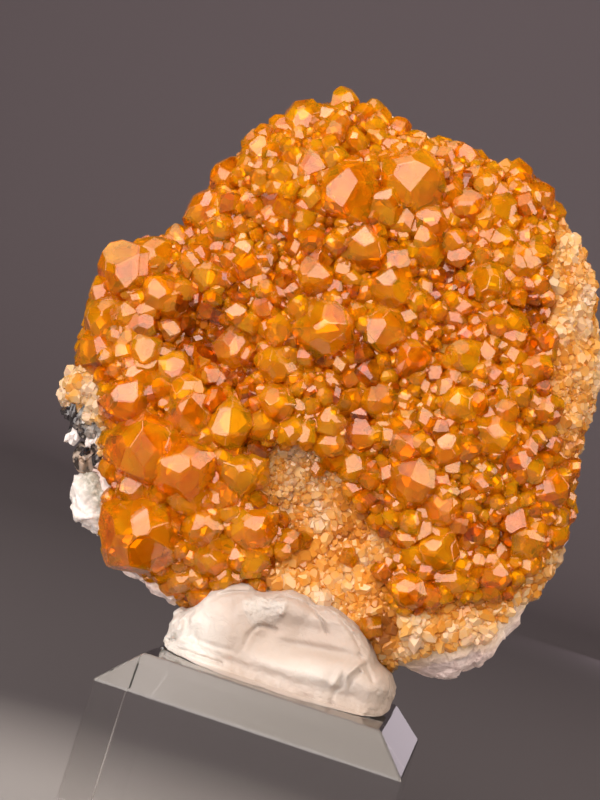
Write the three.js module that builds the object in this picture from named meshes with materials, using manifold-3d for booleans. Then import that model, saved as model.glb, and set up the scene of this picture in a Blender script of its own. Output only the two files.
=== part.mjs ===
// A spessartine garnet specimen: orange garnets and fine pale crystals grown over a feldspar plate,
// pressed with white putty onto a clear bevelled block. Millimetres, +Z up.
// The origin is the centre of the block's base, and -Y is the side that shows the garnets.
import * as THREE from 'three';
import Module from 'manifold-3d';
import { ConvexGeometry } from 'three/addons/geometries/ConvexGeometry.js';
import { mergeVertices } from 'three/addons/utils/BufferGeometryUtils.js';

const wasm = await Module();
wasm.setup();

// The block is 1 1/4 inch square, with a 45 degree bevel round its top.
const BLOCK_SIDE = 32;
const BLOCK_HEIGHT = 25;
const BLOCK_BEVEL = 3.5;

// The plate's own frame: u to the right, v up its face and w out of its face, where its rim is at w = 0.
// It leans to the left by PLATE_LEAN and is turned a little by PLATE_TURN.
const PLATE_CENTRE = [-6.8, 2, 54.2];
const PLATE_LEAN = THREE.MathUtils.degToRad(17.3);
const PLATE_TURN = THREE.MathUtils.degToRad(7.1);

// Places on the face are read along lines of sight from a point this far in front of the rim.
const SIGHT = 208;

// Height of the rock's face over its rim, depth of its back, and the space kept between pieces.
const FACE_RISE = 6.4;
const BACK_DEPTH = 8.2;
const GAP = 0.35;

// The crust is this thick between its larger crystals, and reaches this far round the rim.
const CRUST_THICKNESS = 1.25;
const DRUSE_THICKNESS = 1.0;
const CRUST_WRAP = 2.5;

// A garnet's centre stands this high over the rock, plus a share of its radius.
const SEAT_HEIGHT = 1.0;
const SEAT_SHARE = 0.1;
const FACET_DISTANCE = 0.92;
const SMALLEST_SOLID_GARNET = 1.6;
const LARGE_GARNET = 2.25;
const GOLDEN_ANGLE = Math.PI * (3 - Math.sqrt(5));

// The rock's outline, clockwise from the left, as [u, v].
const PLATE_MIDDLE = [3, 1];
const PLATE_OUTLINE = [
  [-23.6, 1.0], [-22.6, 5.0], [-21.4, 9.5], [-19.8, 13.6], [-16.5, 15.7], [-12.8, 16.6],
  [-10.6, 19.6], [-8.2, 23.0], [-5.4, 26.3], [-1.8, 29.4], [3.4, 31.2], [7.4, 30.6],
  [11.0, 29.2], [15.0, 27.4], [19.4, 25.2], [23.6, 23.8], [26.2, 20.8], [28.4, 18.0],
  [30.6, 14.0], [31.4, 7.0], [31.0, 0.0], [29.6, -5.0], [28.4, -9.5], [27.6, -15.0],
  [25.6, -20.0], [22.6, -24.6], [19.6, -28.6], [16.3, -29.7], [12.0, -28.8], [6.0, -27.6],
  [-1.0, -25.6], [-8.0, -23.4], [-13.6, -20.6], [-18.0, -17.8], [-20.6, -14.6],
  [-22.4, -11.5], [-22.8, -7.0], [-23.4, -3.0],
];

// Swells and hollows of the rock's face, as [u, v, radius, height].
const FACE_SWELLS = [
  [-19, 13, 5, 0.8], [-17, -6, 5, 0.8], [17, -4, 8, 1.0], [5, 22, 7, 0.8], [13, -25, 6, 0.5],
  [16.5, -28, 4, 1.0], [-12.5, 8.3, 3.2, -2.4], [-9.5, 6.5, 3.0, -1.8], [-6.8, 3.5, 2.6, -1.5],
  [-13.6, 12.8, 1.8, -1.5], [-6.4, -5.2, 2.0, -1.5], [0.5, -10.5, 5.5, -3.0],
  [4.5, -16.5, 5, -2.2], [-2, -14.5, 3, -1.0], [15.6, 13.5, 2, -1.4], [25, 9, 2.2, -1.4],
  [6.5, 26.5, 1.6, -1.0], [2.2, 4, 1.6, -1.0], [21, -15, 2, -1.2], [1, 19, 2, -0.8],
];
const BACK_SWELLS = [
  [-8, 10, 9, 1.2], [14, 14, 8, -1.4], [6, -12, 10, 1.0], [-14, -8, 7, -1.2], [20, -6, 7, 0.8],
];

// Areas of fine pale crystals on the face, as outlines of [u, v].
const DRUSE_LOWER = [
  [-3.4, -5.5], [0, -3.9], [3.2, -5.8], [4.8, -7.4], [5.6, -9.6], [6.6, -11.2], [9, -13.8],
  [11.0, -15.6], [9.2, -18.6], [9.4, -21.8], [12.4, -22.8], [14.6, -22.0], [17, -21.2],
  [19.1, -20.8], [22.6, -20.4], [23.0, -18.1], [25.2, -17.4], [26.2, -14.6], [33, -13.6],
  [31, -24], [24, -31], [16, -34], [2, -32], [-4, -30], [-4.2, -19.2], [-1.8, -17], [-1, -15.4],
  [-1.8, -13.8], [-3.2, -12.2], [-4.8, -10.1], [-4.5, -8],
];
const DRUSE_RIGHT = [
  [26.6, 17.5], [27.2, 20.5], [34, 21], [36, 8], [35, -3], [31.5, -8.2], [28.5, -7.4],
  [26.6, -5.3], [26.4, -3.2], [27.6, 0], [26, 2.1], [26.8, 6.4], [26.3, 10.6], [26.8, 13.8],
  [26.3, 16.4],
];
const DRUSE_LEFT = [
  [-22.4, 3.2], [-20.8, 2.4], [-20.4, 0.2], [-21.0, -1.6], [-23, -2.0], [-27, -2.2], [-28, 3.4],
];
const DRUSE_AREAS = [DRUSE_LOWER, DRUSE_RIGHT, DRUSE_LEFT];

// Lumps at the left rim: where they sit in the plate's frame, their half sizes and how they are turned.
const FELDSPAR_LUMP = { place: [-21.9, -10.8, 0.2], reach: [2.7, 3.0, 4.2], turn: 0.15 };
const DARK_LUMP = { place: [-22.4, -4.6, 0.6], reach: [2.6, 2.6, 2.7], turn: 0.4 };

// The rock's rings stand at these shares of the way out to its rim, with this many points round each.
const RINGS = [0.32, 0.56, 0.76, 0.9, 0.975];
const AROUND = 40;
const RIM_POWER = 5;
const RIM_LIMIT = 0.99;

// Garnets of the crust as [u, v, radius, u and v of the way its largest facet looks].
const GARNETS_LEFT = [
  [-19.3, 14.0, 3.1, 0.05, 0.15], [-15.9, 15.1, 2.3, 0.5, 0.3], [-17.6, 16.2, 1.5, -0.2, 0.3],
  [-13.0, 17.0, 1.7, -0.1, 0.1], [-15.4, 11.4, 1.9, -0.05, 0.05], [-21.6, 11.9, 1.9, -0.3, 0.1],
  [-20.7, 8.5, 2.4, 0.5, -0.5], [-18.3, 9.2, 1.4, 0.1, 0.1], [-17.0, 7.9, 1.6, 0.5, -0.6],
  [-14.1, 10.6, 2.0, 0.6, -0.2], [-14.0, 7.6, 1.2, 0, 0.1], [-21.4, 5.3, 2.3, -0.1, 0.1],
  [-18.6, 5.3, 1.5, 0.5, -0.5], [-16.6, 5.1, 1.7, 0, 0.15], [-13.7, 3.4, 1.6, 0, 0],
  [-10.3, 4.6, 1.5, 0.2, 0.3], [-18.0, 3.9, 1.2, -0.1, 0.1], [-17.5, 2.3, 1.5, 0.5, -0.4],
  [-7.2, 5.3, 2.2, 0.3, -0.6], [-7.1, 2.3, 1.8, 0.6, -0.3], [-18.6, -0.3, 2.3, -0.55, 0.1],
  [-14.9, 1.2, 1.3, 0.5, -0.5], [-11.9, -1.6, 2.2, -0.2, 0.15], [-9.2, -0.5, 1.5, -0.05, 0.1],
  [-12.2, 0.8, 1.7, 0.1, 0.75], [-7.6, -2.7, 2.3, 0.5, 0.6], [-10.6, -3.9, 1.5, 0.4, -0.6],
  [-16.6, -5.3, 3.4, -0.4, 0.25], [-12.9, -7.6, 3.0, 0, 0.1], [-6.7, -8.3, 2.0, 0.5, 0.5],
  [-5.1, -7.2, 1.3, 0, 0.2], [-15.2, -9.8, 1.6, 0.2, 0], [-12.2, -10.3, 2.0, 0.5, -0.6],
  [-8.0, -10.3, 1.5, 0.6, -0.4], [-17.0, -14.3, 4.0, 0.05, 0.42], [-19.9, -11.7, 1.5, 0.2, 0.2],
  [-18.0, -9.5, 1.6, -0.4, 0.5], [-20.1, -7.2, 1.3, -0.5, 0.1], [-10.6, -13.8, 2.0, 0.5, -0.5],
  [-15.4, -17.5, 1.4, -0.1, 0.2], [-9.5, -17.2, 1.8, 0.3, 0.4], [-12.7, -19.6, 1.8, 0.5, -0.5],
  [-16.4, -19.1, 1.4, -0.3, -0.5], [-5.3, -13.8, 2.2, 0.5, -0.6], [-5.1, -17.0, 1.6, 0.6, -0.5],
  [-8.0, -15.9, 1.2, 0.2, 0.2],
];
const GARNETS_TOP = [
  [-9.8, 20.1, 2.5, -0.05, -0.15], [-7.6, 23.9, 2.0, -0.2, 0], [-5.5, 25.1, 1.3, 0.3, 0.5],
  [-4.2, 25.0, 1.2, 0.6, -0.4], [-3.5, 28.3, 1.4, -0.1, 0.1], [-1.6, 29.0, 1.4, 0, 0.2],
  [0.5, 29.9, 2.2, 0.4, 0.5], [-2.9, 26.5, 1.4, 0, 0.1], [1.4, 24.9, 1.6, 0.5, 0.4],
  [-2.3, 22.8, 1.4, 0.4, -0.5], [0.5, 20.9, 1.2, 0, 0], [-1.6, 20.5, 1.3, 0.5, 0.4],
  [5.3, 22.3, 2.9, -0.05, 0.05], [4.8, 31.6, 1.4, -0.1, 0.2], [6.8, 30.4, 1.7, 0.3, 0.2],
  [8.4, 28.2, 1.2, 0, 0.1], [3.2, 30.5, 1.3, 0.5, -0.3], [3.7, 28.3, 1.3, 0.2, 0.5],
  [6.6, 26.5, 1.4, 0.5, -0.6], [12.2, 23.2, 3.2, -0.6, 0.3], [8.7, 24.1, 1.2, -0.1, 0.1],
  [11.7, 27.8, 1.6, 0.5, -0.4], [17.8, 26.0, 1.6, 0.5, 0.4], [16.2, 22.5, 1.8, 0.5, -0.5],
  [20.4, 23.3, 1.4, 0.4, 0.6], [21.6, 22.3, 1.2, 0, 0.1], [23.5, 24.1, 1.6, 0.1, 0.3],
  [21.7, 20.4, 1.6, 0.5, 0.4], [25.6, 21.8, 1.7, 0.5, -0.4], [18.0, 20.7, 1.8, 0.4, -0.5],
  [14.2, 18.9, 1.8, 0.6, -0.2], [9.0, 20.7, 2.0, 0.6, -0.3], [16.5, 17.0, 1.2, 0, 0.1],
  [21.7, 17.2, 1.4, -0.1, 0.2], [23.9, 14.8, 1.7, -0.2, 0], [25.4, 15.9, 1.5, 0.5, 0.5],
];
const GARNETS_MIDDLE = [
  [-7.5, 15.1, 1.2, 0, 0.1], [-8.4, 12.9, 1.2, 0, 0.1], [-10.6, 15.4, 1.6, 0.5, 0.3],
  [-10.1, 13.3, 1.6, 0.4, 0.6], [-5.8, 14.3, 1.6, 0.5, 0.5], [1.3, 17.4, 1.5, 0.3, 0.3],
  [6.9, 16.4, 2.0, 0.1, -0.15], [1.6, 13.3, 1.8, 0.5, -0.5], [10.1, 14.4, 1.6, 0, 0.2],
  [9.9, 12.2, 2.2, 0.4, 0.5], [15.6, 13.6, 1.9, 0.5, -0.6], [13.8, 15.9, 1.5, 0.6, -0.3],
  [20.2, 12.5, 1.8, 0.5, 0.5], [22.7, 7.8, 1.6, -0.6, 0.4], [25.0, 9.0, 1.4, 0.5, -0.5],
  [2.6, 7.6, 2.8, -0.45, 0.55], [0.4, 4.6, 1.2, 0, 0.1], [-2.3, 7.4, 1.6, 0.5, -0.4],
  [-2.7, 3.7, 1.8, 0.4, 0.5], [6.4, 6.4, 1.2, 0.5, -0.6], [9.0, 7.4, 2.2, 0.5, -0.4],
  [12.0, 4.2, 1.9, -0.3, -0.1], [17.7, 4.5, 1.6, 0.5, 0.4], [23.1, 4.8, 1.2, -0.1, 0.1],
  [25.2, 3.4, 1.5, 0.4, 0.5], [-2.6, -0.5, 1.8, 0.5, -0.4], [-4.0, -2.7, 1.6, 0.5, -0.5],
  [-1.1, -3.2, 1.6, 0.3, 0.6], [3.2, -2.7, 1.6, 0.5, 0.3], [3.4, -4.8, 1.6, 0.5, -0.3],
  [7.4, 2.7, 1.6, 0.3, 0.4], [5.3, -0.2, 1.4, 0.2, 0.4], [8.5, 0, 1.7, 0.5, 0.4],
];
const GARNETS_RIGHT = [
  [6.6, -3.8, 1.6, 0, 0.35], [5.8, -7.2, 1.5, 0.4, 0.5], [15.9, -5.3, 1.7, 0.4, 0.1],
  [17.0, -0.5, 1.8, 0.5, 0.5], [21.2, -3.9, 2.0, 0.3, 0.5], [26.0, -1.1, 1.4, 0.5, 0.4],
  [12.2, -8.8, 2.3, 0.5, 0.3], [26.7, -9.5, 2.1, 0.3, 0.3], [23.1, -13.3, 1.3, 0, 0.2],
  [15.0, -11.7, 1.8, 0.5, 0.4], [14.8, -16.4, 2.0, 0.4, 0.5], [20.9, -14.8, 1.6, 0.5, -0.5],
  [24.2, -15.4, 1.8, 0.5, 0.4], [16.4, -19.6, 1.6, 0.4, -0.4], [14.0, -21.2, 1.2, 0.5, -0.6],
  [12.2, -17.0, 1.4, 0.5, -0.5], [8.0, -10.6, 1.3, 0.3, 0.5], [11.5, -5.2, 1.7, 0.4, 0.3],
  [19.4, -9.0, 1.2, 0, 0.1], [11.5, -20.6, 1.8, 0, 0.35], [20.9, -18.8, 1.6, 0, 0.3],
];
const CRUST_GARNETS = [...GARNETS_LEFT, ...GARNETS_TOP, ...GARNETS_MIDDLE, ...GARNETS_RIGHT];

// Garnets that stand apart on the pale druse.
const LONE_GARNETS = [
  [7.6, -24.6, 1.3, 0.5, -0.4], [5.3, -17.0, 1.1, 0.4, -0.4], [0.3, -15.2, 1.0, 0.5, -0.5],
  [1.9, -7.6, 0.9, 0.5, -0.3],
];

// The putty is a ball pressed flat on the block: its middle, half sizes, and how square it is.
const PUTTY_MIDDLE = [-0.7, 0.6, BLOCK_HEIGHT + 4.6];
const PUTTY_REACH = [12.9, 8.4, 6.4];
const PUTTY_SQUARENESS = 2.4;
const PUTTY_SWELLS = [
  [-8, 33, 3.5, 0.5], [-1.5, 34, 3, 0.6], [8, 31, 3, 0.7], [-11, 28, 2.5, 0.6], [2, 29, 4, -1.4],
];

const PUTTY_AROUND = 22;
const PUTTY_ROWS = 14;

// A garnet further out than this may meet a pale area or the putty.
const EDGE_LEFT = -19;
const EDGE_RIGHT = 20;
const EDGE_LOWER = 0;

// Blocks and columns used for cuts are this large, well past the whole specimen.
const CUT_SIZE = 120;
const MERGE_DISTANCE = 1e-4;
const LUMP_DETAIL = 1;

const FINISHES = {
  garnet: { color: 0xd8780c, roughness: 0.1 },
  druse: { color: 0xd9ac74, roughness: 0.5 },
  rock: { color: 0xcabdb2, roughness: 0.8 },
  feldspar: { color: 0xe6dfda, roughness: 0.4 },
  dark: { color: 0x1c1a1c, roughness: 0.2 },
  putty: { color: 0xebdcd0, roughness: 0.7 },
  acrylic: { color: 0xf4f0f0, roughness: 0.05, transparent: true, opacity: 0.35 },
};

// A solid from any closed geometry.
function solidOf(geometry) {
  const bare = geometry.clone();
  bare.deleteAttribute('normal');
  bare.deleteAttribute('uv');
  const merged = mergeVertices(bare, MERGE_DISTANCE);
  return new wasm.Manifold(new wasm.Mesh({
    numProp: 3,
    vertProperties: new Float32Array(merged.attributes.position.array),
    triVerts: new Uint32Array(merged.index.array),
  }));
}

function geometryOf(solid) {
  const { vertProperties, triVerts } = solid.getMesh();
  const geometry = new THREE.BufferGeometry();
  geometry.setAttribute('position', new THREE.BufferAttribute(vertProperties, 3));
  geometry.setIndex(new THREE.BufferAttribute(triVerts, 1));
  geometry.computeVertexNormals();
  return geometry;
}

function joinAll(solids) {
  return solids.reduce((whole, one) => whole.add(one));
}

// The largest of a solid's separate bodies, where a cut has left crumbs.
function largestBody(solid) {
  return solid.decompose().reduce((best, one) => (one.volume() > best.volume() ? one : best));
}

function mesh(name, solid, finish) {
  const material = new THREE.MeshStandardMaterial({ metalness: 0, flatShading: true, ...finish });
  const made = new THREE.Mesh(geometryOf(solid), material);
  made.name = name;
  return made;
}

// Sum of round swells at (u, v): each falls off as a bell curve of its radius.
function swellsAt(swells, u, v) {
  return swells.reduce((sum, [su, sv, radius, height]) => {
    const away = ((u - su) ** 2 + (v - sv) ** 2) / radius ** 2;
    return sum + height * Math.exp(-away);
  }, 0);
}

const faceHeight = (u, v) => FACE_RISE + swellsAt(FACE_SWELLS, u, v);
const backDepth = (u, v) => BACK_DEPTH + swellsAt(BACK_SWELLS, u, v);

// A point of the plate's frame, with w out of the face, on the line of sight through (u, v).
function platePoint(u, v, w) {
  const nearer = 1 - w / SIGHT;
  return new THREE.Vector3(u * nearer, -w, v * nearer);
}

// Points of the rock's rim, evenly along a smooth curve through its outline.
const RIM_CURVE = new THREE.CatmullRomCurve3(
  PLATE_OUTLINE.map(([u, v]) => new THREE.Vector3(u, v, 0)), true, 'centripetal',
);
const RIM = RIM_CURVE.getPoints(AROUND).slice(0, AROUND);

// The share of the rock's height that is left at a share of the way out to its rim.
const rimShare = (share) => Math.sqrt(1 - share ** RIM_POWER);

// The rock as a closed solid, with its skin moved outwards by grow.
function rockSolid(grow) {
  const [middleU, middleV] = PLATE_MIDDLE;
  const positions = [];
  const addPoint = (u, v, w) => positions.push(...platePoint(u, v, w).toArray());
  const addRing = (share, side) => RIM.forEach((corner) => {
    const reach = new THREE.Vector2(corner.x - middleU, corner.y - middleV);
    const u = middleU + reach.x * share;
    const v = middleV + reach.y * share;
    const height = side > 0 ? faceHeight(u, v) + grow : -backDepth(u, v) - grow;
    const out = (grow * share) / reach.length();
    addPoint(u + reach.x * out, v + reach.y * out, height * rimShare(share));
  });
  addPoint(middleU, middleV, faceHeight(middleU, middleV) + grow);
  RINGS.forEach((share) => addRing(share, 1));
  addRing(1, 1);
  [...RINGS].reverse().forEach((share) => addRing(share, -1));
  addPoint(middleU, middleV, -backDepth(middleU, middleV) - grow);

  const rows = RINGS.length * 2 + 1;
  const geometry = new THREE.BufferGeometry();
  geometry.setAttribute('position', new THREE.Float32BufferAttribute(positions, 3));
  geometry.setIndex(ringFaces(rows, AROUND));
  return solidOf(geometry);
}

// Triangles of a skin made of rows of points, with one point before the first row and one after the last.
function ringFaces(rows, around) {
  const last = rows * around + 1;
  const at = (row, k) => 1 + row * around + (k % around);
  const faces = [];
  for (let k = 0; k < around; k += 1) {
    faces.push(0, at(0, k + 1), at(0, k));
    faces.push(last, at(rows - 1, k), at(rows - 1, k + 1));
    for (let row = 0; row < rows - 1; row += 1) {
      faces.push(at(row, k), at(row, k + 1), at(row + 1, k));
      faces.push(at(row, k + 1), at(row + 1, k + 1), at(row + 1, k));
    }
  }
  return faces;
}

// Everything in front of w = from, as a block much larger than the plate.
function spaceInFront(from) {
  const box = new THREE.BoxGeometry(CUT_SIZE, CUT_SIZE, CUT_SIZE);
  return solidOf(box.translate(0, -from - CUT_SIZE / 2, 0));
}

// An outline of [u, v] with each corner moved inwards, square to the line between its neighbours.
function inset(outline, distance) {
  const points = outline.map(([u, v]) => new THREE.Vector2(u, v));
  const inward = THREE.ShapeUtils.isClockWise(points) ? -1 : 1;
  return points.map((corner, k) => {
    const next = points[(k + 1) % points.length];
    const along = next.clone().sub(points.at(k - 1)).normalize();
    return [corner.x - along.y * distance * inward, corner.y + along.x * distance * inward];
  });
}

// A column through the plate over an outline of [u, v].
function column(outline) {
  const shape = new THREE.Shape(outline.map(([u, v]) => new THREE.Vector2(u, v)));
  const bar = new THREE.ExtrudeGeometry(shape, { depth: CUT_SIZE, bevelEnabled: false });
  return solidOf(bar.translate(0, 0, -CUT_SIZE / 2).rotateX(Math.PI / 2));
}

// All the corners that a sign for each of x, y and z makes of one corner.
function signedCorners(x, y, z) {
  const signs = (value) => (value === 0 ? [0] : [-value, value]);
  return signs(x).flatMap((a) => signs(y).flatMap((b) => signs(z).map((c) => [a, b, c])));
}

// The large habit: 24 kites, with corners on the axes, between two axes and between all three.
function trapezohedronCorners(distance) {
  const axis = (distance * Math.sqrt(6)) / 2;
  const edge = (distance * Math.sqrt(6)) / 3;
  const corner = (distance * Math.sqrt(6)) / 4;
  return [
    [axis, 0, 0], [0, axis, 0], [0, 0, axis], [edge, edge, 0], [edge, 0, edge], [0, edge, edge],
    [corner, corner, corner],
  ].flatMap((place) => signedCorners(...place));
}

// The small habit: 12 rhombs, with corners on the axes and between all three.
function dodecahedronCorners(distance) {
  const axis = distance * Math.SQRT2;
  const corner = distance / Math.SQRT2;
  return [[axis, 0, 0], [0, axis, 0], [0, 0, axis], [corner, corner, corner]]
    .flatMap((place) => signedCorners(...place));
}

// How much of the face's height is left at (u, v), close to the rim.
function seatShare(u, v) {
  const way = (x, y) => Math.atan2(y - PLATE_MIDDLE[1], x - PLATE_MIDDLE[0]);
  const reach = (x, y) => Math.hypot(x - PLATE_MIDDLE[0], y - PLATE_MIDDLE[1]);
  const apart = (corner) => Math.abs(Math.sin((way(corner.x, corner.y) - way(u, v)) / 2));
  const corner = RIM.reduce((best, one) => (apart(one) < apart(best) ? one : best));
  return rimShare(Math.min(reach(u, v) / reach(corner.x, corner.y), RIM_LIMIT));
}

// One garnet of a list, its largest facet looking the way that the list says. swell grows it all round.
function garnet([u, v, radius, facetU, facetV], order, swell) {
  const isLarge = radius >= LARGE_GARNET;
  const distance = radius * FACET_DISTANCE + swell;
  const corners = isLarge ? trapezohedronCorners(distance) : dodecahedronCorners(distance);
  const facet = isLarge ? new THREE.Vector3(2, 1, 1) : new THREE.Vector3(1, 1, 0);
  const looks = new THREE.Vector3(facetU, -Math.sqrt(1 - facetU ** 2 - facetV ** 2), facetV);
  const turn = new THREE.Quaternion().setFromUnitVectors(facet.normalize(), looks);
  turn.premultiply(new THREE.Quaternion().setFromAxisAngle(looks, order * GOLDEN_ANGLE));
  const seat = faceHeight(u, v) * seatShare(u, v) + SEAT_HEIGHT + SEAT_SHARE * radius;
  const centre = platePoint(u, v, seat);
  const placed = corners.map((place) => new THREE.Vector3(...place).applyQuaternion(turn).add(centre));
  return solidOf(new ConvexGeometry(placed));
}

const loneGarnets = (swell) => LONE_GARNETS.map((entry, order) => garnet(entry, order, swell));

function largeGarnets(swell, isWanted = () => true) {
  return CRUST_GARNETS.map((entry, order) => ({ entry, order }))
    .filter(({ entry }) => entry[2] >= SMALLEST_SOLID_GARNET && isWanted(...entry))
    .map(({ entry, order }) => garnet(entry, order, swell));
}

// A lump as a stretched ball, turned about the way up.
function lump({ place, reach, turn }, grow) {
  const ball = new THREE.IcosahedronGeometry(1, LUMP_DETAIL);
  ball.scale(reach[0] + grow, reach[1] + grow, reach[2] + grow).rotateY(turn);
  return solidOf(ball.translate(...platePoint(...place).toArray()));
}

// The crust: a skin over the face outside the pale areas, with the larger garnets standing out of it.
function crustSolid() {
  const skin = rockSolid(CRUST_THICKNESS + GAP)
    .intersect(spaceInFront(-CRUST_WRAP))
    .subtract(joinAll(DRUSE_AREAS.map(column)));
  const whole = joinAll([skin, ...largeGarnets(0)]);
  return largestBody(whole
    .subtract(rockSolid(GAP))
    .subtract(lump(FELDSPAR_LUMP, GAP))
    .subtract(lump(DARK_LUMP, GAP)));
}

// The garnets of the crust that come near a pale area or the putty, grown by the gap kept to them.
const isNearEdge = (u, v) => v < EDGE_LOWER || u > EDGE_RIGHT || u < EDGE_LEFT;

// A pale area: a thinner skin over the rock inside its outline, clear of the garnets.
function druseSolid(outline) {
  const skin = rockSolid(DRUSE_THICKNESS + GAP)
    .intersect(spaceInFront(-CRUST_WRAP))
    .intersect(column(inset(outline, GAP)));
  const clear = joinAll([...largeGarnets(GAP, isNearEdge), ...loneGarnets(GAP)]);
  return largestBody(skin.subtract(rockSolid(GAP)).subtract(clear).subtract(lump(DARK_LUMP, GAP)));
}

function darkSolid() {
  return largestBody(lump(DARK_LUMP, 0).subtract(rockSolid(GAP)).subtract(lump(FELDSPAR_LUMP, GAP)));
}

// The putty: a squarish ball with thumbed swells and a dent, cut flat by the block under it.
function puttySolid() {
  const ball = new THREE.SphereGeometry(1, PUTTY_AROUND, PUTTY_ROWS);
  ball.deleteAttribute('normal');
  ball.deleteAttribute('uv');
  const round = mergeVertices(ball);
  const places = round.attributes.position;
  const way = new THREE.Vector3();
  for (let k = 0; k < places.count; k += 1) {
    way.fromBufferAttribute(places, k);
    const square = way.toArray()
      .reduce((sum, value, side) => sum + Math.abs(value / PUTTY_REACH[side]) ** PUTTY_SQUARENESS, 0);
    way.multiplyScalar(square ** (-1 / PUTTY_SQUARENESS)).add(new THREE.Vector3(...PUTTY_MIDDLE));
    const swell = way.y < PUTTY_MIDDLE[1] ? swellsAt(PUTTY_SWELLS, way.x, way.z) : 0;
    places.setXYZ(k, way.x, way.y - swell, way.z);
  }
  const floor = new THREE.BoxGeometry(CUT_SIZE, CUT_SIZE, CUT_SIZE);
  floor.translate(0, 0, BLOCK_HEIGHT + GAP - CUT_SIZE / 2);
  return solidOf(round).subtract(solidOf(floor));
}

// The block: its square foot and shoulder, and the smaller square of its top face.
function blockSolid() {
  const half = BLOCK_SIDE / 2;
  const squareAt = (side, z) => signedCorners(side, side, 0).map(([x, y]) => new THREE.Vector3(x, y, z));
  const foot = squareAt(half, 0);
  const shoulder = squareAt(half, BLOCK_HEIGHT - BLOCK_BEVEL);
  const top = squareAt(half - BLOCK_BEVEL, BLOCK_HEIGHT);
  return solidOf(new ConvexGeometry([...foot, ...shoulder, ...top]));
}

const plate = new THREE.Group();
plate.position.set(...PLATE_CENTRE);
plate.rotation.set(0, -PLATE_LEAN, PLATE_TURN, 'ZYX');
plate.updateMatrixWorld();

// The putty fills what the specimen leaves free, so it is cut in the plate's own frame.
function puttyOnPlate() {
  const toPlate = plate.matrixWorld.clone().invert();
  const ball = solidOf(geometryOf(puttySolid()).applyMatrix4(toPlate));
  const skin = rockSolid(CRUST_THICKNESS + 2 * GAP).intersect(spaceInFront(-CRUST_WRAP - GAP));
  const all = [skin, rockSolid(GAP), ...largeGarnets(GAP, isNearEdge), ...loneGarnets(GAP)];
  return largestBody(ball.subtract(joinAll(all)));
}

plate.add(
  mesh('matrix_rock', rockSolid(0), FINISHES.rock),
  mesh('garnet_crust', crustSolid(), FINISHES.garnet),
  mesh('pale_druse', druseSolid(DRUSE_LOWER), FINISHES.druse),
  mesh('pale_druse_right', druseSolid(DRUSE_RIGHT), FINISHES.druse),
  mesh('pale_druse_left', druseSolid(DRUSE_LEFT), FINISHES.druse),
  mesh('feldspar_lump', lump(FELDSPAR_LUMP, 0).subtract(rockSolid(GAP)), FINISHES.feldspar),
  mesh('dark_mineral', darkSolid(), FINISHES.dark),
  mesh('mounting_putty', puttyOnPlate(), FINISHES.putty),
);
loneGarnets(0).forEach((solid, order) => {
  const cut = largestBody(solid.subtract(rockSolid(GAP)));
  plate.add(mesh(`lone_garnet_${order + 1}`, cut, FINISHES.garnet));
});

const specimen = new THREE.Group();
specimen.add(plate, mesh('acrylic_block', blockSolid(), FINISHES.acrylic));

export default specimen;
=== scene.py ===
"""A plate of orange garnets and fine pale crystals, held by white putty on a clear bevelled block.

Shapes are worked out in millimetres and put into their meshes in metres. The plate has a frame of its own:
u to the right, v up its face and w out of its face, with its rim at w = 0.
"""
import math

import bpy
import numpy as np
from mathutils import Matrix


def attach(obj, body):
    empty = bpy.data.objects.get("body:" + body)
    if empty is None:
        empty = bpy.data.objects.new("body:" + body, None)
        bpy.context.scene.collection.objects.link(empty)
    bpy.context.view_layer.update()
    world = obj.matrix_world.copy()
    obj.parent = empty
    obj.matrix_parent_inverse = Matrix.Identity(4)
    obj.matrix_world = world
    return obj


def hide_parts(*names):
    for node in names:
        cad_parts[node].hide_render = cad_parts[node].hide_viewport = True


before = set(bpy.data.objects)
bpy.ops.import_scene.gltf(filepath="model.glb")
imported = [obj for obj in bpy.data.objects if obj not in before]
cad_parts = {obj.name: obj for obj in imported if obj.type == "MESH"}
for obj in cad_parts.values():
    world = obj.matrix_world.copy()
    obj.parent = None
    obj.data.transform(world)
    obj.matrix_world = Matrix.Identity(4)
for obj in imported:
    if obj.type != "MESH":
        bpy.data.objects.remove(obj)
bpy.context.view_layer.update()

MM = 0.001
GOLDEN_ANGLE = math.pi * (3 - math.sqrt(5))

# The plate: where its middle is, how it leans and is turned, the distance its places are sighted from, the
# middle of its outline, about how far it reaches in u, w and v, its height before and behind its rim, the
# power of its fall towards the rim, and how many points its rim has.
PLATE_CENTRE = np.array([-6.8, 2.0, 54.2])
PLATE_LEAN = math.radians(17.3)
PLATE_TURN = math.radians(7.1)
SIGHT = 208.0
PLATE_MIDDLE = np.array([3.0, 1.0])
PLATE_REACH = np.array([27.0, 8.0, 29.0])
FACE_RISE = 6.4
BACK_DEPTH = 8.2
RIM_POWER = 5
RIM_COUNT = 1440

# The block's side, its height, and how far its sloped edges go in and down.
BLOCK_SIDE = 32.0
BLOCK_HEIGHT = 25.0
BLOCK_BEVEL = 3.5

# The rock's outline as seen on its face, as [u, v].
PLATE_OUTLINE = np.array([
    [-23.6, 1.0], [-22.6, 5.0], [-21.4, 9.5], [-19.8, 13.6], [-16.5, 15.7], [-12.8, 16.6],
    [-10.6, 19.6], [-8.2, 23.0], [-5.4, 26.3], [-1.8, 29.4], [3.4, 31.2], [7.4, 30.6],
    [11.0, 29.2], [15.0, 27.4], [19.4, 25.2], [23.6, 23.8], [26.2, 20.8], [28.4, 18.0],
    [30.6, 14.0], [31.4, 7.0], [31.0, 0.0], [29.6, -5.0], [28.4, -9.5], [27.6, -15.0],
    [25.6, -20.0], [22.6, -24.6], [19.6, -28.6], [16.3, -29.7], [12.0, -28.8], [6.0, -27.6],
    [-1.0, -25.6], [-8.0, -23.4], [-13.6, -20.6], [-18.0, -17.8], [-20.6, -14.6],
    [-22.4, -11.5], [-22.8, -7.0], [-23.4, -3.0],
])

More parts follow.
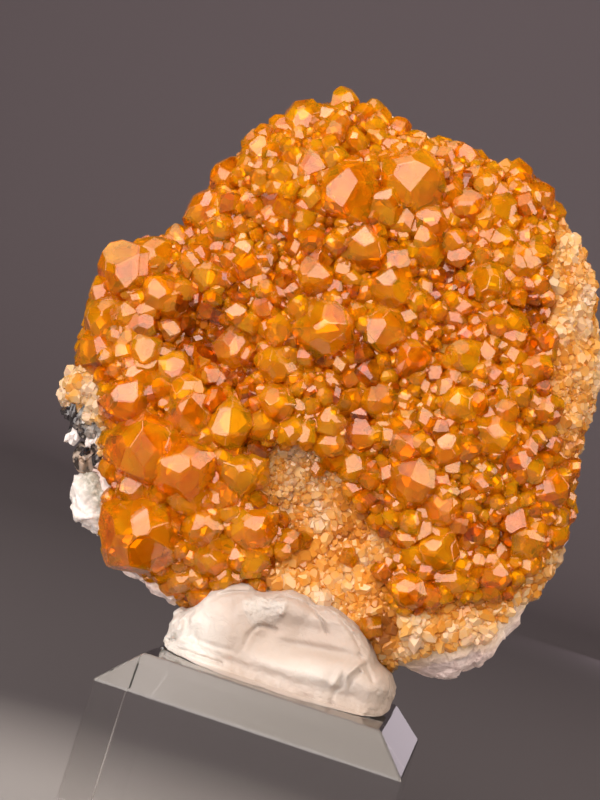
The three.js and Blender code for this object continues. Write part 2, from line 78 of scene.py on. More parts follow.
# Swells and hollows of the rock, as [u, v, radius, height].
FACE_SWELLS = np.array([
    [-19, 13, 5, 0.8], [-17, -6, 5, 0.8], [17, -4, 8, 1.0], [5, 22, 7, 0.8], [13, -25, 6, 0.5],
    [16.5, -28, 4, 1.0], [-12.5, 8.3, 3.2, -2.4], [-9.5, 6.5, 3.0, -1.8], [-6.8, 3.5, 2.6, -1.5],
    [-13.6, 12.8, 1.8, -1.5], [-6.4, -5.2, 2.0, -1.5], [0.5, -10.5, 5.5, -3.0],
    [4.5, -16.5, 5, -2.2], [-2, -14.5, 3, -1.0], [15.6, 13.5, 2, -1.4], [25, 9, 2.2, -1.4],
    [6.5, 26.5, 1.6, -1.0], [2.2, 4, 1.6, -1.0], [21, -15, 2, -1.2], [1, 19, 2, -0.8],
])
BACK_SWELLS = np.array([
    [-8, 10, 9, 1.2], [14, 14, 8, -1.4], [6, -12, 10, 1.0], [-14, -8, 7, -1.2], [20, -6, 7, 0.8],
])

# Areas of fine pale crystals, and the bare and the dark places of the rock, as outlines of [u, v].
DRUSE_LOWER = np.array([
    [-3.4, -5.5], [0, -3.9], [3.2, -5.8], [4.8, -7.4], [5.6, -9.6], [6.6, -11.2], [9, -13.8],
    [11.0, -15.6], [9.2, -18.6], [9.4, -21.8], [12.4, -22.8], [14.6, -22.0], [17, -21.2],
    [19.1, -20.8], [22.6, -20.4], [23.0, -18.1], [25.2, -17.4], [26.2, -14.6], [33, -13.6],
    [31, -24], [24, -31], [16, -34], [2, -32], [-4, -30], [-4.2, -19.2], [-1.8, -17],
    [-1, -15.4], [-1.8, -13.8], [-3.2, -12.2], [-4.8, -10.1], [-4.5, -8],
])
DRUSE_RIGHT = np.array([
    [26.6, 17.5], [27.2, 20.5], [34, 21], [36, 8], [35, -3], [31.5, -8.2], [28.5, -7.4],
    [26.6, -5.3], [26.4, -3.2], [27.6, 0], [26, 2.1], [26.8, 6.4], [26.3, 10.6], [26.8, 13.8],
    [26.3, 16.4],
])
DRUSE_LEFT = np.array([
    [-22.4, 3.2], [-20.8, 2.4], [-20.4, 0.2], [-20.3, -1.6], [-20.1, -8.4], [-21.0, -8.6],
    [-21.3, -2.0], [-23, -2.0], [-27, -2.2], [-28, 3.4],
])
PALE_AREAS = (DRUSE_LOWER, DRUSE_RIGHT, DRUSE_LEFT)
BARE_FOOT = np.array([
    [10.5, -28.6], [16.5, -27.2], [20.2, -26.2], [22.2, -23.4], [23.6, -21.6], [26, -23], [24, -34],
    [8, -34],
])
BARE_EDGE = np.array([[-20.6, -15.4], [-16.8, -18.1], [-12.4, -20.2], [-12.0, -25], [-23, -22]])
BARE_TOP = np.array([[8.4, 29.7], [11.0, 28.3], [14.8, 26.7], [15.8, 29.5], [9.5, 32.5]])
DARK_PATCH = np.array([[-20.6, -1.2], [-19.8, -8.0], [-20.2, -15.2], [-28, -16], [-28, -1.6]])

# The part of the hollow where the pale crystals are finest, and the heap of them at the left rim as
# [u, v, w, reach in u, in depth and in v].
FINE_HOLLOW = np.array([
    [-4, -6], [0, -4], [4, -6.5], [3.4, -9.5], [1.2, -12.6], [-2.4, -13.4], [-5, -10.5],
])
LEFT_HEAP = np.array([-23.1, 1.3, 0.2, 1.9, 2.4, 2.1])

# Garnets of the crust as [u, v, radius, u and v of the way the largest facet looks].
GARNETS = np.array([
    [-18.5, 13.6, 3.1, 0.05, 0.15], [-15.9, 15.1, 2.3, 0.5, 0.3], [-16.9, 16.1, 1.5, -0.2, 0.3],
    [-13.0, 17.0, 1.7, -0.1, 0.1], [-15.4, 11.4, 1.9, -0.05, 0.05], [-20.8, 11.5, 1.9, -0.3, 0.1],
    [-20.7, 8.5, 2.4, 0.5, -0.5], [-18.3, 9.2, 1.4, 0.1, 0.1], [-17.0, 7.9, 1.6, 0.5, -0.6],
    [-14.1, 10.6, 2.0, 0.6, -0.2], [-14.0, 7.6, 1.2, 0, 0.1], [-21.4, 5.3, 2.3, -0.1, 0.1],
    [-18.6, 5.3, 1.5, 0.5, -0.5], [-16.6, 5.1, 1.7, 0, 0.15], [-13.7, 3.4, 1.6, 0, 0],
    [-10.3, 4.6, 1.5, 0.2, 0.3], [-18.0, 3.9, 1.2, -0.1, 0.1], [-17.5, 2.3, 1.5, 0.5, -0.4],
    [-7.2, 5.3, 2.2, 0.3, -0.6], [-7.1, 2.3, 1.8, 0.6, -0.3], [-18.6, -0.3, 2.3, -0.55, 0.1],
    [-14.9, 1.2, 1.3, 0.5, -0.5], [-11.9, -1.6, 2.2, -0.2, 0.15], [-9.2, -0.5, 1.5, -0.05, 0.1],
    [-12.2, 0.8, 1.7, 0.1, 0.75], [-7.6, -2.7, 2.3, 0.5, 0.6], [-10.6, -3.9, 1.5, 0.4, -0.6],
    [-16.6, -5.3, 3.4, -0.4, 0.25], [-12.9, -7.6, 3.0, 0, 0.1], [-6.7, -8.3, 2.0, 0.5, 0.5],
    [-5.1, -7.2, 1.3, 0, 0.2], [-15.2, -9.8, 1.6, 0.2, 0], [-12.2, -10.3, 2.0, 0.5, -0.6],
    [-8.0, -10.3, 1.5, 0.6, -0.4], [-17.0, -14.3, 4.0, 0.05, 0.42], [-19.9, -11.7, 1.5, 0.2, 0.2],
    [-18.0, -9.5, 1.6, -0.4, 0.5], [-20.1, -7.2, 1.3, -0.5, 0.1], [-10.6, -13.8, 2.0, 0.5, -0.5],
    [-15.4, -17.5, 1.4, -0.1, 0.2], [-9.5, -17.2, 1.8, 0.3, 0.4], [-12.7, -19.2, 1.5, 0.5, -0.5],
    [-5.3, -13.8, 2.2, 0.5, -0.6], [-5.1, -17.0, 1.6, 0.6, -0.5],
    [-8.0, -15.9, 1.2, 0.2, 0.2],
    [-9.8, 20.1, 2.5, -0.05, -0.15], [-7.6, 23.9, 2.0, -0.2, 0], [-5.5, 25.1, 1.3, 0.3, 0.5],
    [-4.2, 25.0, 1.2, 0.6, -0.4], [-3.5, 28.3, 1.4, -0.1, 0.1], [-1.6, 29.0, 1.4, 0, 0.2],
    [0.5, 29.9, 2.2, 0.4, 0.5], [-2.9, 26.5, 1.4, 0, 0.1], [1.4, 24.9, 1.6, 0.5, 0.4],
    [-2.3, 22.8, 1.4, 0.4, -0.5], [0.5, 20.9, 1.2, 0, 0], [-1.6, 20.5, 1.3, 0.5, 0.4],
    [5.3, 22.3, 2.9, -0.05, 0.05], [4.8, 32.2, 1.4, -0.1, 0.2], [6.8, 30.4, 1.7, 0.3, 0.2],
    [8.4, 28.2, 1.2, 0, 0.1], [3.2, 30.5, 1.3, 0.5, -0.3], [3.7, 28.3, 1.3, 0.2, 0.5],
    [6.6, 26.5, 1.4, 0.5, -0.6], [12.2, 23.2, 3.2, -0.6, 0.3], [8.7, 24.1, 1.2, -0.1, 0.1],
    [11.6, 27.1, 1.5, 0.5, -0.4], [17.8, 26.0, 1.6, 0.5, 0.4], [16.2, 22.5, 1.8, 0.5, -0.5],
    [20.4, 23.3, 1.4, 0.4, 0.6], [21.6, 22.3, 1.2, 0, 0.1], [23.5, 24.1, 1.6, 0.1, 0.3],
    [21.7, 20.4, 1.6, 0.5, 0.4], [25.6, 21.8, 1.7, 0.5, -0.4], [18.0, 20.7, 1.8, 0.4, -0.5],
    [14.2, 18.9, 1.8, 0.6, -0.2], [9.0, 20.7, 2.0, 0.6, -0.3], [16.5, 17.0, 1.2, 0, 0.1],
    [21.7, 17.2, 1.4, -0.1, 0.2], [23.9, 14.8, 1.7, -0.2, 0], [25.4, 15.9, 1.5, 0.5, 0.5],
    [-7.5, 15.1, 1.2, 0, 0.1], [-8.4, 12.9, 1.2, 0, 0.1], [-10.6, 15.4, 1.6, 0.5, 0.3],
    [-10.1, 13.3, 1.6, 0.4, 0.6], [-5.8, 14.3, 1.6, 0.5, 0.5], [1.3, 17.4, 1.5, 0.3, 0.3],
    [6.9, 16.4, 2.0, 0.1, -0.15], [1.6, 13.3, 1.8, 0.5, -0.5], [10.1, 14.4, 1.6, 0, 0.2],
    [9.9, 12.2, 2.2, 0.4, 0.5], [15.6, 13.6, 1.9, 0.5, -0.6], [13.8, 15.9, 1.5, 0.6, -0.3],
    [20.2, 12.5, 1.8, 0.5, 0.5], [22.7, 7.8, 1.6, -0.6, 0.4], [25.0, 9.0, 1.4, 0.5, -0.5],
    [2.6, 7.6, 2.8, -0.45, 0.55], [0.4, 4.6, 1.2, 0, 0.1], [-2.3, 7.4, 1.6, 0.5, -0.4],
    [-2.7, 3.7, 1.8, 0.4, 0.5], [6.4, 6.4, 1.2, 0.5, -0.6], [9.0, 7.4, 2.2, 0.5, -0.4],
    [12.0, 4.2, 1.9, -0.3, -0.1], [17.7, 4.5, 1.6, 0.5, 0.4], [23.1, 4.8, 1.2, -0.1, 0.1],
    [25.2, 3.4, 1.5, 0.4, 0.5], [-2.6, -0.5, 1.8, 0.5, -0.4], [-4.0, -2.7, 1.6, 0.5, -0.5],
    [-1.1, -3.2, 1.6, 0.3, 0.6], [3.2, -2.7, 1.6, 0.5, 0.3], [3.4, -4.8, 1.6, 0.5, -0.3],
    [7.4, 2.7, 1.6, 0.3, 0.4], [5.3, -0.2, 1.4, 0.2, 0.4], [8.5, 0, 1.7, 0.5, 0.4],
    [6.6, -3.8, 1.6, 0, 0.35], [5.8, -7.2, 1.5, 0.4, 0.5], [15.9, -5.3, 1.7, 0.4, 0.1],
    [17.0, -0.5, 1.8, 0.5, 0.5], [21.2, -3.9, 2.0, 0.3, 0.5], [26.0, -1.1, 1.4, 0.5, 0.4],
    [12.2, -8.8, 2.3, 0.5, 0.3], [26.7, -9.5, 2.1, 0.3, 0.3], [23.1, -13.3, 1.3, 0, 0.2],
    [15.0, -11.7, 1.8, 0.5, 0.4], [14.8, -16.4, 2.0, 0.4, 0.5], [20.9, -14.8, 1.6, 0.5, -0.5],
    [24.2, -15.4, 1.8, 0.5, 0.4], [16.4, -19.6, 1.6, 0.4, -0.4], [14.0, -21.2, 1.2, 0.5, -0.6],
    [12.2, -17.0, 1.4, 0.5, -0.5], [8.0, -10.6, 1.3, 0.3, 0.5], [11.5, -5.2, 1.7, 0.4, 0.3],
    [19.4, -9.0, 1.2, 0, 0.1], [11.5, -20.6, 1.8, 0, 0.35], [20.9, -18.8, 1.6, 0, 0.3],
])

# Smaller garnets, in the same way. Most have a facet that looks straight out.
SMALL_GARNETS = np.array([
    [-19.9, 3, 1, -.2, 0], [-12.2, 8, 1.6, .6, -.3], [-11.9, 5.1, 1, 0, .1], [-8.7, 2.1, .9, 0, .1],
    [-16.5, .6, 1.1, .1, .1], [-12.2, -4.8, 1, 0, 0], [-10.1, -6.1, .9, 0, .1], [-9.3, -8.5, .8, 0, 0],
    [-9, -10.8, 1.1, 0, 0], [-11.5, -11.9, 1, 0, .1], [-6, -11.9, 1, 0, 0], [-11.9, -16.8, 1, 0, .2],
    [-3.5, -15.4, .9, 0, .1],
    [-6, 21.4, 1.1, 0, .05], [-1, 24.7, 1.1, 0, 0], [2.4, 20.9, 1, .05, 0], [-3.4, 19.9, .9, 0, .1],
    [14.5, 25.2, 1, 0, .1], [14.6, 27.3, .9, 0, 0], [16.4, 26.8, 1, -.1, .1], [18.7, 24.4, .9, 0, .1],
    [17.8, 22.3, .7, 0, 0], [15.8, 20.1, .8, 0, 0], [12.1, 18.7, 1, 0, .1], [19.6, 16.4, .9, 0, 0],
    [24.2, 17.5, 1, 0, .1], [26, 18.2, 1, 0, 0], [24.5, 12.6, 1, 0, 0],
    [-12, 12.9, .8, 0, 0], [-4.5, 12.7, 1, 0, 0], [-3.8, 14, .8, 0, 0], [-2.2, 11.7, .9, 0, 0],
    [-.6, 16.4, 1, 0, 0], [4.5, 17.7, 1, 0, .1], [4.6, 14.2, .9, 0, 0], [5.7, 12.8, 1, 0, .1],
    [3.6, 12.1, .9, 0, .1], [2.3, 11.2, .6, 0, 0], [4.7, 11, .8, -.1, 0], [11.2, 11.3, 1.1, 0, .1],
    [13.4, 12.2, .8, 0, 0], [17.4, 11.7, .7, 0, 0], [18.5, 12.8, .8, 0, .1], [17.6, 9.9, 1.1, 0, 0],
    [16.5, 8.8, 1, 0, 0], [25.3, 8.1, .7, 0, 0], [25.9, 10.2, .7, 0, 0], [-.9, 8.8, .8, 0, 0],
    [-3.7, 5.3, .9, 0, .1], [4.2, 3.9, 1, 0, 0], [1.9, 3.7, .8, 0, 0], [1.9, 2.4, .5, 0, .1],
    [3.6, 1.7, .8, 0, .1], [3.9, .5, 1, 0, 0], [1.1, .8, 1, .1, 0], [6.1, 7.4, .8, 0, .1],
    [10, 5.3, .7, 0, 0], [8.1, 5.2, .6, 0, 0], [13.5, 4.5, .7, 0, 0], [14.5, 2.8, .9, 0, 0],
    [13.4, 3, .8, 0, 0], [16.6, 2.4, .9, 0, 0], [13.4, 1.4, .7, 0, .1], [15.6, 1.3, 1, -.1, 0],
    [18.1, 6.9, 1, 0, 0], [18.9, 5.6, .8, .1, 0], [20.2, 5.3, 1, 0, 0], [20.1, 3.5, .9, 0, 0],
    [19.1, 1.6, 1, 0, 0], [21.4, .5, 1, 0, 0], [21.9, 1.8, .7, 0, .1], [24.4, 2.4, .9, 0, .1],
    [24.8, .6, .6, 0, 0],
    [-.2, -.8, .9, 0, .1], [1.9, -1.6, .7, 0, .1], [5.5, -5, .7, 0, .1], [7.7, -5.6, .6, 0, .1],
    [9, -2.7, .7, 0, 0], [9.5, -4, 1, 0, 0], [10.9, -4.4, .8, 0, 0], [11.5, -1.9, .9, 0, 0],
    [11.2, .2, .9, 0, .1], [7.2, .5, .6, 0, 0], [13.5, -2.1, 1, 0, .1], [15.2, -2.1, .8, 0, .1],
    [16.2, -2.5, .8, 0, 0], [15.5, -4, .7, 0, 0], [14.1, -.4, .8, 0, 0], [20.4, -1.9, .9, -.1, .1],
    [23.3, -2.7, .7, 0, 0], [25.5, -4.3, 1, 0, 0], [16.4, -7.2, 1, 0, 0], [17.7, -7.4, .7, 0, 0],
    [11.3, -10.1, .9, 0, 0], [10.1, -10.1, .7, 0, 0], [15.2, -9, 1, 0, .1], [19.5, -7.2, .7, 0, .1],
    [18.2, -11.3, .9, 0, 0], [16.6, -12.4, .8, 0, 0], [18.2, -12.7, .8, 0, 0], [20.8, -12.6, .9, 0, 0],
    [22.8, -8.5, .8, 0, 0], [22.8, -10.4, .5, 0, 0], [25.1, -13, .7, 0, 0], [24.1, -12, .6, 0, 0],
    [13.3, -14.1, 1.1, 0, 0], [14, -13, .8, 0, .1], [18, -15.4, .8, 0, .1], [19.5, -16.6, .9, 0, 0],
    [21.4, -16.6, 1, 0, .1], [18.8, -18.8, .9, 0, 0], [5.6, -9.5, 1.1, 0, 0], [6.9, -9.8, .6, 0, 0],
])

# Places where garnets sit low in a pocket, where their colour is painted deeper as shade, as [u, v,
# radius].
SHADED_POCKETS = np.array([
    [-12.5, 8.4, 3.4], [-13.6, 12.6, 1.8], [-9.3, 6.6, 2.6], [-6.8, 3.2, 2.2], [-6.0, -4.6, 2.0],
    [6.6, 26.5, 1.6], [16.2, 22.5, 2.0], [15.6, 13.6, 2.2], [25.0, 9.0, 2.0], [6.4, 6.2, 1.6],
    [20.9, -14.8, 2.0], [2.2, 4.4, 1.6],
])

# Garnets that stand apart on the pale crystals, one piece each.
LONE_GARNETS = np.array([
    [7.6, -24.6, 1.3, 0.5, -0.4], [5.3, -17.0, 1.1, 0.4, -0.4], [0.3, -15.2, 1.0, 0.5, -0.5],
    [1.9, -7.6, 0.9, 0.5, -0.3],
])


# Numbers from places

def lattice(cells, seed):
    """Even numbers from 0 to 1, one for each whole-number place, mixed from its three coordinates."""
    whole = cells.astype(np.int64)
    mixed = whole[..., 0] * 73856093 ^ whole[..., 1] * 19349663
    mixed = mixed ^ whole[..., 2] * 83492791 ^ seed * 2654435761
    mixed = (mixed ^ (mixed >> 13)) * 1274126177 & 0x7FFFFFFF
    mixed = (mixed ^ (mixed >> 15)) * 668265263 & 0x7FFFFFFF
    return (mixed % 1000003) / 1000003.0


def noise(points, size, seed):
    """Smooth noise from -1 to 1: eight corner numbers of a cube, blended by 3t^2 - 2t^3 along each side."""
    scaled = points / size
    low = np.floor(scaled)
    part = scaled - low
    part = part * part * (3 - 2 * part)
    total = np.zeros(points.shape[:-1])
    for corner in np.ndindex(2, 2, 2):
        weight = np.prod(np.where(np.array(corner) == 1, part, 1 - part), axis=-1)
        total += weight * lattice(low + corner, seed)
    return total * 2 - 1


def fractal(points, size, octaves, seed):
    """A sum of noises, each half the size and half the height of the last."""
    return sum(noise(points, size / 2 ** k, seed + k) / 2 ** k for k in range(octaves))


def broken(points, size, seed, tilt):
    """A broken face: each cell round a scattered middle is a flat chip, stepped and tilted by chance."""
    scaled = points / size
    low = np.floor(scaled)
    nearest = np.full(points.shape[:-1], np.inf)
    height = np.zeros(points.shape[:-1])
    for step in np.ndindex(3, 3, 3):
        cell = low + np.array(step) - 1
        middle = cell + np.stack([lattice(cell, seed + k) for k in range(3)], axis=-1)
        away = scaled - middle
        distance = np.linalg.norm(away, axis=-1)
        slope = np.stack([lattice(cell, seed + 3 + k) - 0.5 for k in range(3)], axis=-1) * tilt
        chip = lattice(cell, seed + 6) * 2 - 1 + np.sum(away * slope, axis=-1)
        closer = distance < nearest
        nearest = np.where(closer, distance, nearest)
        height = np.where(closer, chip, height)
    return height


def swells_at(swells, u, v):
    """Sum of round swells, each its height times exp(-distance^2 / radius^2)."""
    away = (u[..., None] - swells[:, 0]) ** 2 + (v[..., None] - swells[:, 1]) ** 2
    return np.sum(swells[:, 3] * np.exp(-away / swells[:, 2] ** 2), axis=-1)


def inside(outline, u, v):
    """Whether each (u, v) is in the outline, by the number of its sides crossed on the way to the right."""
    start, end = outline, np.roll(outline, -1, axis=0)
    u, v = np.asarray(u)[..., None], np.asarray(v)[..., None]
    spans = (start[:, 1] > v) != (end[:, 1] > v)
    rise = np.where(end[:, 1] == start[:, 1], 1e-9, end[:, 1] - start[:, 1])
    at = start[:, 0] + (v - start[:, 1]) * (end[:, 0] - start[:, 0]) / rise
    return np.sum(spans & (u < at), axis=-1) % 2 == 1


# The plate's own frame

def turned(axis, angle):
    """The turn by an angle about an axis, for one axis or for many: 1 + sin(angle) K + (1 - cos(angle))
    K^2, where K is the cross product with the axis."""
    axis = np.asarray(axis, float)
    angle = np.asarray(angle, float)[..., None, None]
    x, y, z = axis[..., 0], axis[..., 1], axis[..., 2]
    zero = np.zeros_like(x)
    cross = np.stack([zero, -z, y, z, zero, -x, -y, x, zero], axis=-1).reshape(axis.shape[:-1] + (3, 3))
    return np.eye(3) + np.sin(angle) * cross + (1 - np.cos(angle)) * (cross @ cross)


PLATE_ROTATION = turned([0, 0, 1], PLATE_TURN) @ turned([0, 1, 0], -PLATE_LEAN)


def sighted(u, v, w):
    """The place of (u, v, w) in the plate's frame, drawn towards the sight line as it comes nearer."""
    nearer = 1 - w / SIGHT
    return np.stack(np.broadcast_arrays(u * nearer, -w, v * nearer), axis=-1)


def on_plate(points):
    """Points of the plate's frame, where they are on the stand."""
    return points @ PLATE_ROTATION.T + PLATE_CENTRE


# The camera's place, and its picture: 600 wide, 800 high, with so many pixels to a slope of one.
EYE = np.array([19.1, -206.0, 50.4])
PICTURE_MIDDLE = np.array([300.0, 400.0])
PIXELS_A_SLOPE = 1940.0


def look_from(place, target, roll):
    """The turn of a camera or light at a place, looking at a target, leaned by roll."""
    forward = np.array(target, float) - np.array(place, float)
    forward /= np.linalg.norm(forward)
    level = np.cross(forward, [0, 0, 1])
    level /= np.linalg.norm(level)
    up = np.cross(level, forward)
    right = math.cos(roll) * level + math.sin(roll) * up
    top = -math.sin(roll) * level + math.cos(roll) * up
    return right, top, forward


RIGHT, TOP, AHEAD = look_from(EYE, PLATE_CENTRE, PLATE_LEAN)


def in_picture(points):
    """Where points are seen in the picture, across and down."""
    away = points - EYE
    slopes = np.stack([away @ RIGHT, -(away @ TOP)], axis=-1) / (away @ AHEAD)[..., None]
    return PICTURE_MIDDLE + slopes * PIXELS_A_SLOPE


def spline(corners, count):
    """A closed smooth curve through the corners, at evenly spaced parameters: a cubic between each two,
    with slopes from the neighbours, taken to be as far off as the square roots of their distances."""
    at = np.arange(count) * len(corners) / count
    first = np.floor(at).astype(int)
    t = (at - first)[:, None]
    p0, p1, p2, p3 = (corners[(first + k) % len(corners)] for k in (-1, 0, 1, 2))
    steps = (p1 - p0, p2 - p1, p3 - p2)
    d0, d1, d2 = (np.sqrt(np.linalg.norm(step, axis=1))[:, None] for step in steps)
    m1 = ((p1 - p0) / d0 - (p2 - p0) / (d0 + d1) + (p2 - p1) / d1) * d1
    m2 = ((p2 - p1) / d1 - (p3 - p1) / (d1 + d2) + (p3 - p2) / d2) * d1
    square, cube = -3 * p1 + 3 * p2 - 2 * m1 - m2, 2 * p1 - 2 * p2 + m1 + m2
    return p1 + m1 * t + square * t ** 2 + cube * t ** 3


RIM = spline(PLATE_OUTLINE, RIM_COUNT)


def rock_skin(around, share, front):
    """The rock's skin: around it (0 to 1), out from its middle (0 to 1), on its front or back.
    Its height is the face's height times sqrt(1 - share^5)."""
    corner = RIM[(np.asarray(around) * RIM_COUNT).astype(int) % RIM_COUNT]
    reach = corner - PLATE_MIDDLE
    u = PLATE_MIDDLE[0] + reach[..., 0] * share
    v = PLATE_MIDDLE[1] + reach[..., 1] * share
    face = FACE_RISE + swells_at(FACE_SWELLS, u, v)
    back = -BACK_DEPTH - swells_at(BACK_SWELLS, u, v)
    return u, v, np.where(front, face, back) * np.sqrt(np.clip(1 - share ** RIM_POWER, 0, 1))


def face_height(u, v):
    """The height of the rock's face at (u, v), lowered towards its rim."""
    way = np.arctan2(v - PLATE_MIDDLE[1], u - PLATE_MIDDLE[0])
    rim_way = np.arctan2(RIM[:, 1] - PLATE_MIDDLE[1], RIM[:, 0] - PLATE_MIDDLE[0])
    nearest = np.argmin(np.abs(np.sin((rim_way - way[..., None]) / 2)), axis=-1)
    reach = np.linalg.norm(RIM[nearest] - PLATE_MIDDLE, axis=-1)
    share = np.minimum(np.hypot(u - PLATE_MIDDLE[0], v - PLATE_MIDDLE[1]) / reach, 0.99)
    return (FACE_RISE + swells_at(FACE_SWELLS, u, v)) * np.sqrt(1 - share ** RIM_POWER)


# Meshes

def keep_numbers(mesh, name, domain, numbers):
    """A number kept by name for each point or face of a mesh."""
    kept = mesh.attributes.new(name, "FLOAT", domain)
    kept.data.foreach_set("value", np.asarray(numbers, np.float32))


def put_in(name, mesh, nodes):
    """A finished mesh put in the scene on its body and the nodes it stands for."""
    made = bpy.data.objects.new(name, mesh)
    bpy.context.scene.collection.objects.link(made)
    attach(made, "root")
    if nodes:
        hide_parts(*nodes)
    return made


def piece(name, points, faces, material, nodes=(), smooth=False, values=None):
    """A finished piece from points in millimetres. values holds a number for each point, by name."""
    mesh = bpy.data.meshes.new(name)
    mesh.from_pydata((np.asarray(points) * MM).tolist(), [], faces)
    for label, numbers in (values or {}).items():
        keep_numbers(mesh, label, "POINT", numbers)
    mesh.materials.append(material)
    if smooth:
        mesh.shade_smooth()
    mesh.validate()
    return put_in(name, mesh, nodes)


def sheet_faces(rows, around):
    """Faces of a closed skin: a first point, rows of points round it, and a last point."""
    k = np.arange(around)
    after = (k + 1) % around
    first = np.stack([np.zeros_like(k), 1 + after, 1 + k], axis=1)
    row = 1 + np.arange(rows - 1)[:, None] * around
    quads = np.stack([row + k, row + after, row + around + after, row + around + k], axis=-1).reshape(-1, 4)
    end = 1 + (rows - 1) * around
    last = np.stack([np.full_like(k, rows * around + 1), end + k, end + after], axis=1)
    return first.tolist() + quads.tolist() + last.tolist()


# Crystals

def facet_ways():
    """The ways the facets look: 24 of the form (2, 1, 1), then 12 of the form (1, 1, 0)."""
    signs = np.array(list(np.ndindex(2, 2, 2))) * 2 - 1
    kites = np.concatenate([signs * np.roll([2, 1, 1], k) for k in range(3)])
    pairs = np.array([[a, b, 0] for a in (-1, 1) for b in (-1, 1)])
    rhombs = np.concatenate([np.roll(pairs, k, axis=1) for k in range(3)])
    return kites / math.sqrt(6), rhombs / math.sqrt(2)


KITES, RHOMBS = facet_ways()


def cut_crystal(ways, distances):
    """The shape left inside planes: its corners are where three planes meet inside all others, and each
    face is the corners on one plane, in order of their angle round its middle."""
    count = len(ways)
    a, b, c = np.array([(i, j, k) for i in range(count) for j in range(i) for k in range(j)]).T
    rows = np.stack([ways[a], ways[b], ways[c]], axis=1)
    sound = np.abs(np.linalg.det(rows)) > 1e-3
    away = np.stack([distances[a], distances[b], distances[c]], axis=1)
    found = np.linalg.solve(rows[sound], away[sound][..., None])[..., 0]
    found = found[np.all(found @ ways.T <= distances + 1e-7, axis=1)]
    corners = found[np.unique(np.round(found, 5), axis=0, return_index=True)[1]]
    faces = []
    for way, distance in zip(ways, distances):
        on = np.flatnonzero(np.abs(corners @ way - distance) < 1e-5)
        if len(on) < 3:
            continue
        middle = corners[on].mean(axis=0)
        side = corners[on[0]] - middle
        side /= np.linalg.norm(side)
        across = np.cross(way, side)
        angle = np.arctan2((corners[on] - middle) @ across, (corners[on] - middle) @ side)
        faces.append(on[np.argsort(angle)])
    return corners, faces


def garnet_shape(rng, balance, unevenness):
    """A garnet one unit in radius: kites, and rhombs balance times as far out, each a little off."""
    ways = np.concatenate([KITES, RHOMBS])
    distances = np.concatenate([np.ones(len(KITES)), np.full(len(RHOMBS), balance)])
    distances *= rng.normal(1, unevenness, len(ways))
    corners, faces = cut_crystal(ways, distances / min(1, balance * 1.04))
    return corners * 0.92, faces


def stepped(rng, corners, faces):
    """A crystal with a raised growth step on each facet: the facet's corners are drawn in towards its
    middle and out along its way, and joined to the facet's own edge by a narrow slope."""
    points, sides = [corners], []
    start = len(corners)
    for face in faces:
        own = corners[face]
        middle = own.mean(axis=0)
        way = np.cross(own[1] - own[0], own[2] - own[0])
        way /= np.linalg.norm(way)
        inner = middle + (own - middle) * rng.uniform(0.88, 0.95) + way * rng.uniform(0.004, 0.012)
        shift = rng.uniform(-0.05, 0.05, 3) * np.linalg.norm(own[0] - middle)
        inner += shift * (1 - np.abs(way))
        after = np.roll(np.arange(len(face)), -1)
        new = start + np.arange(len(face))
        sides.extend(np.stack([face, face[after], new[after], new], axis=1))
        sides.append(new)
        points.append(inner)
        start += len(face)
    return np.concatenate(points), sides


def grain_shape(rng, longest):
    """A pale grain: a rhombic crystal with its sharp corners cut off, each plane well off its place, and
    drawn out one way."""
    ways = np.concatenate([RHOMBS, np.eye(3), -np.eye(3)])
    ways = ways + rng.normal(0, 0.12, ways.shape)
    ways /= np.linalg.norm(ways, axis=1)[:, None]
    distances = np.concatenate([np.ones(len(RHOMBS)), np.full(6, 1.14)]) * rng.normal(1, 0.09, len(ways))
    corners, faces = cut_crystal(ways, distances)
    return corners * np.array([1, 1, rng.uniform(1, longest)]) * 0.87, faces


def between(start, end):
    """The shortest turn that takes unit vectors start to unit vectors end."""
    axis = np.cross(start, end)
    size = np.linalg.norm(axis, axis=-1, keepdims=True)
    angle = np.arctan2(size[..., 0], np.sum(start * end, axis=-1))
    return turned(axis / np.maximum(size, 1e-9), angle)


def grown_together(name, rng, shapes, which, turns, sizes, middles, tones, unevenness,
                   material, nodes=()):
    """Many crystals joined in one solid: each is a shape, turned, sized and put in its place, and all of
    them are united. Each face keeps its crystal's tone, and is a little off it by chance."""
    others = bpy.data.collections.new(name)
    bpy.context.scene.collection.children.link(others)
    made = []
    for shape, turn, size, middle, value in zip(which, turns, sizes, middles, tones):
        corners, sides = shapes[shape]
        mesh = bpy.data.meshes.new(name)
        points = on_plate(corners @ turn.T * size + middle)
        mesh.from_pydata(points.tolist(), [], [side.tolist() for side in sides])
        keep_numbers(mesh, "tone", "FACE", rng.normal(value, unevenness, len(sides)))
        made.append(bpy.data.objects.new(name, mesh))
    bpy.context.scene.collection.objects.link(made[0])
    for one in made[1:]:
        others.objects.link(one)
    join = made[0].modifiers.new("join", "BOOLEAN")
    join.operation, join.operand_type, join.solver = "UNION", "COLLECTION", "MANIFOLD"
    join.collection = others
    joined_up = made[0].evaluated_get(bpy.context.evaluated_depsgraph_get())
    whole = bpy.data.meshes.new_from_object(joined_up)
    meshes = [one.data for one in made]
    for one in made:
        bpy.data.objects.remove(one)
    for one in meshes:
        bpy.data.meshes.remove(one)
    bpy.data.collections.remove(others)
    whole.transform(Matrix.Scale(MM, 4))
    whole.name = name
    whole.materials.clear()
    whole.materials.append(material)
    put_in(name, whole, nodes)


def gather(shapes, which, turns, sizes, middles):
    """Loose crystals as one set of points and faces: each a shape, turned, sized and put in its place."""
    points, faces, start = [], [], 0
    for shape, turn, size, middle in zip(which, turns, sizes, middles):
        corners, sides = shapes[shape]
        points.append(corners @ turn.T * size + middle)
        faces.extend((side + start).tolist() for side in sides)
        start += len(corners)
    return np.concatenate(points), faces


def chance_ways(rng, count):
    """Unit vectors spread evenly over all directions."""
    ways = rng.normal(size=(count, 3))
    return ways / np.linalg.norm(ways, axis=1)[:, None]


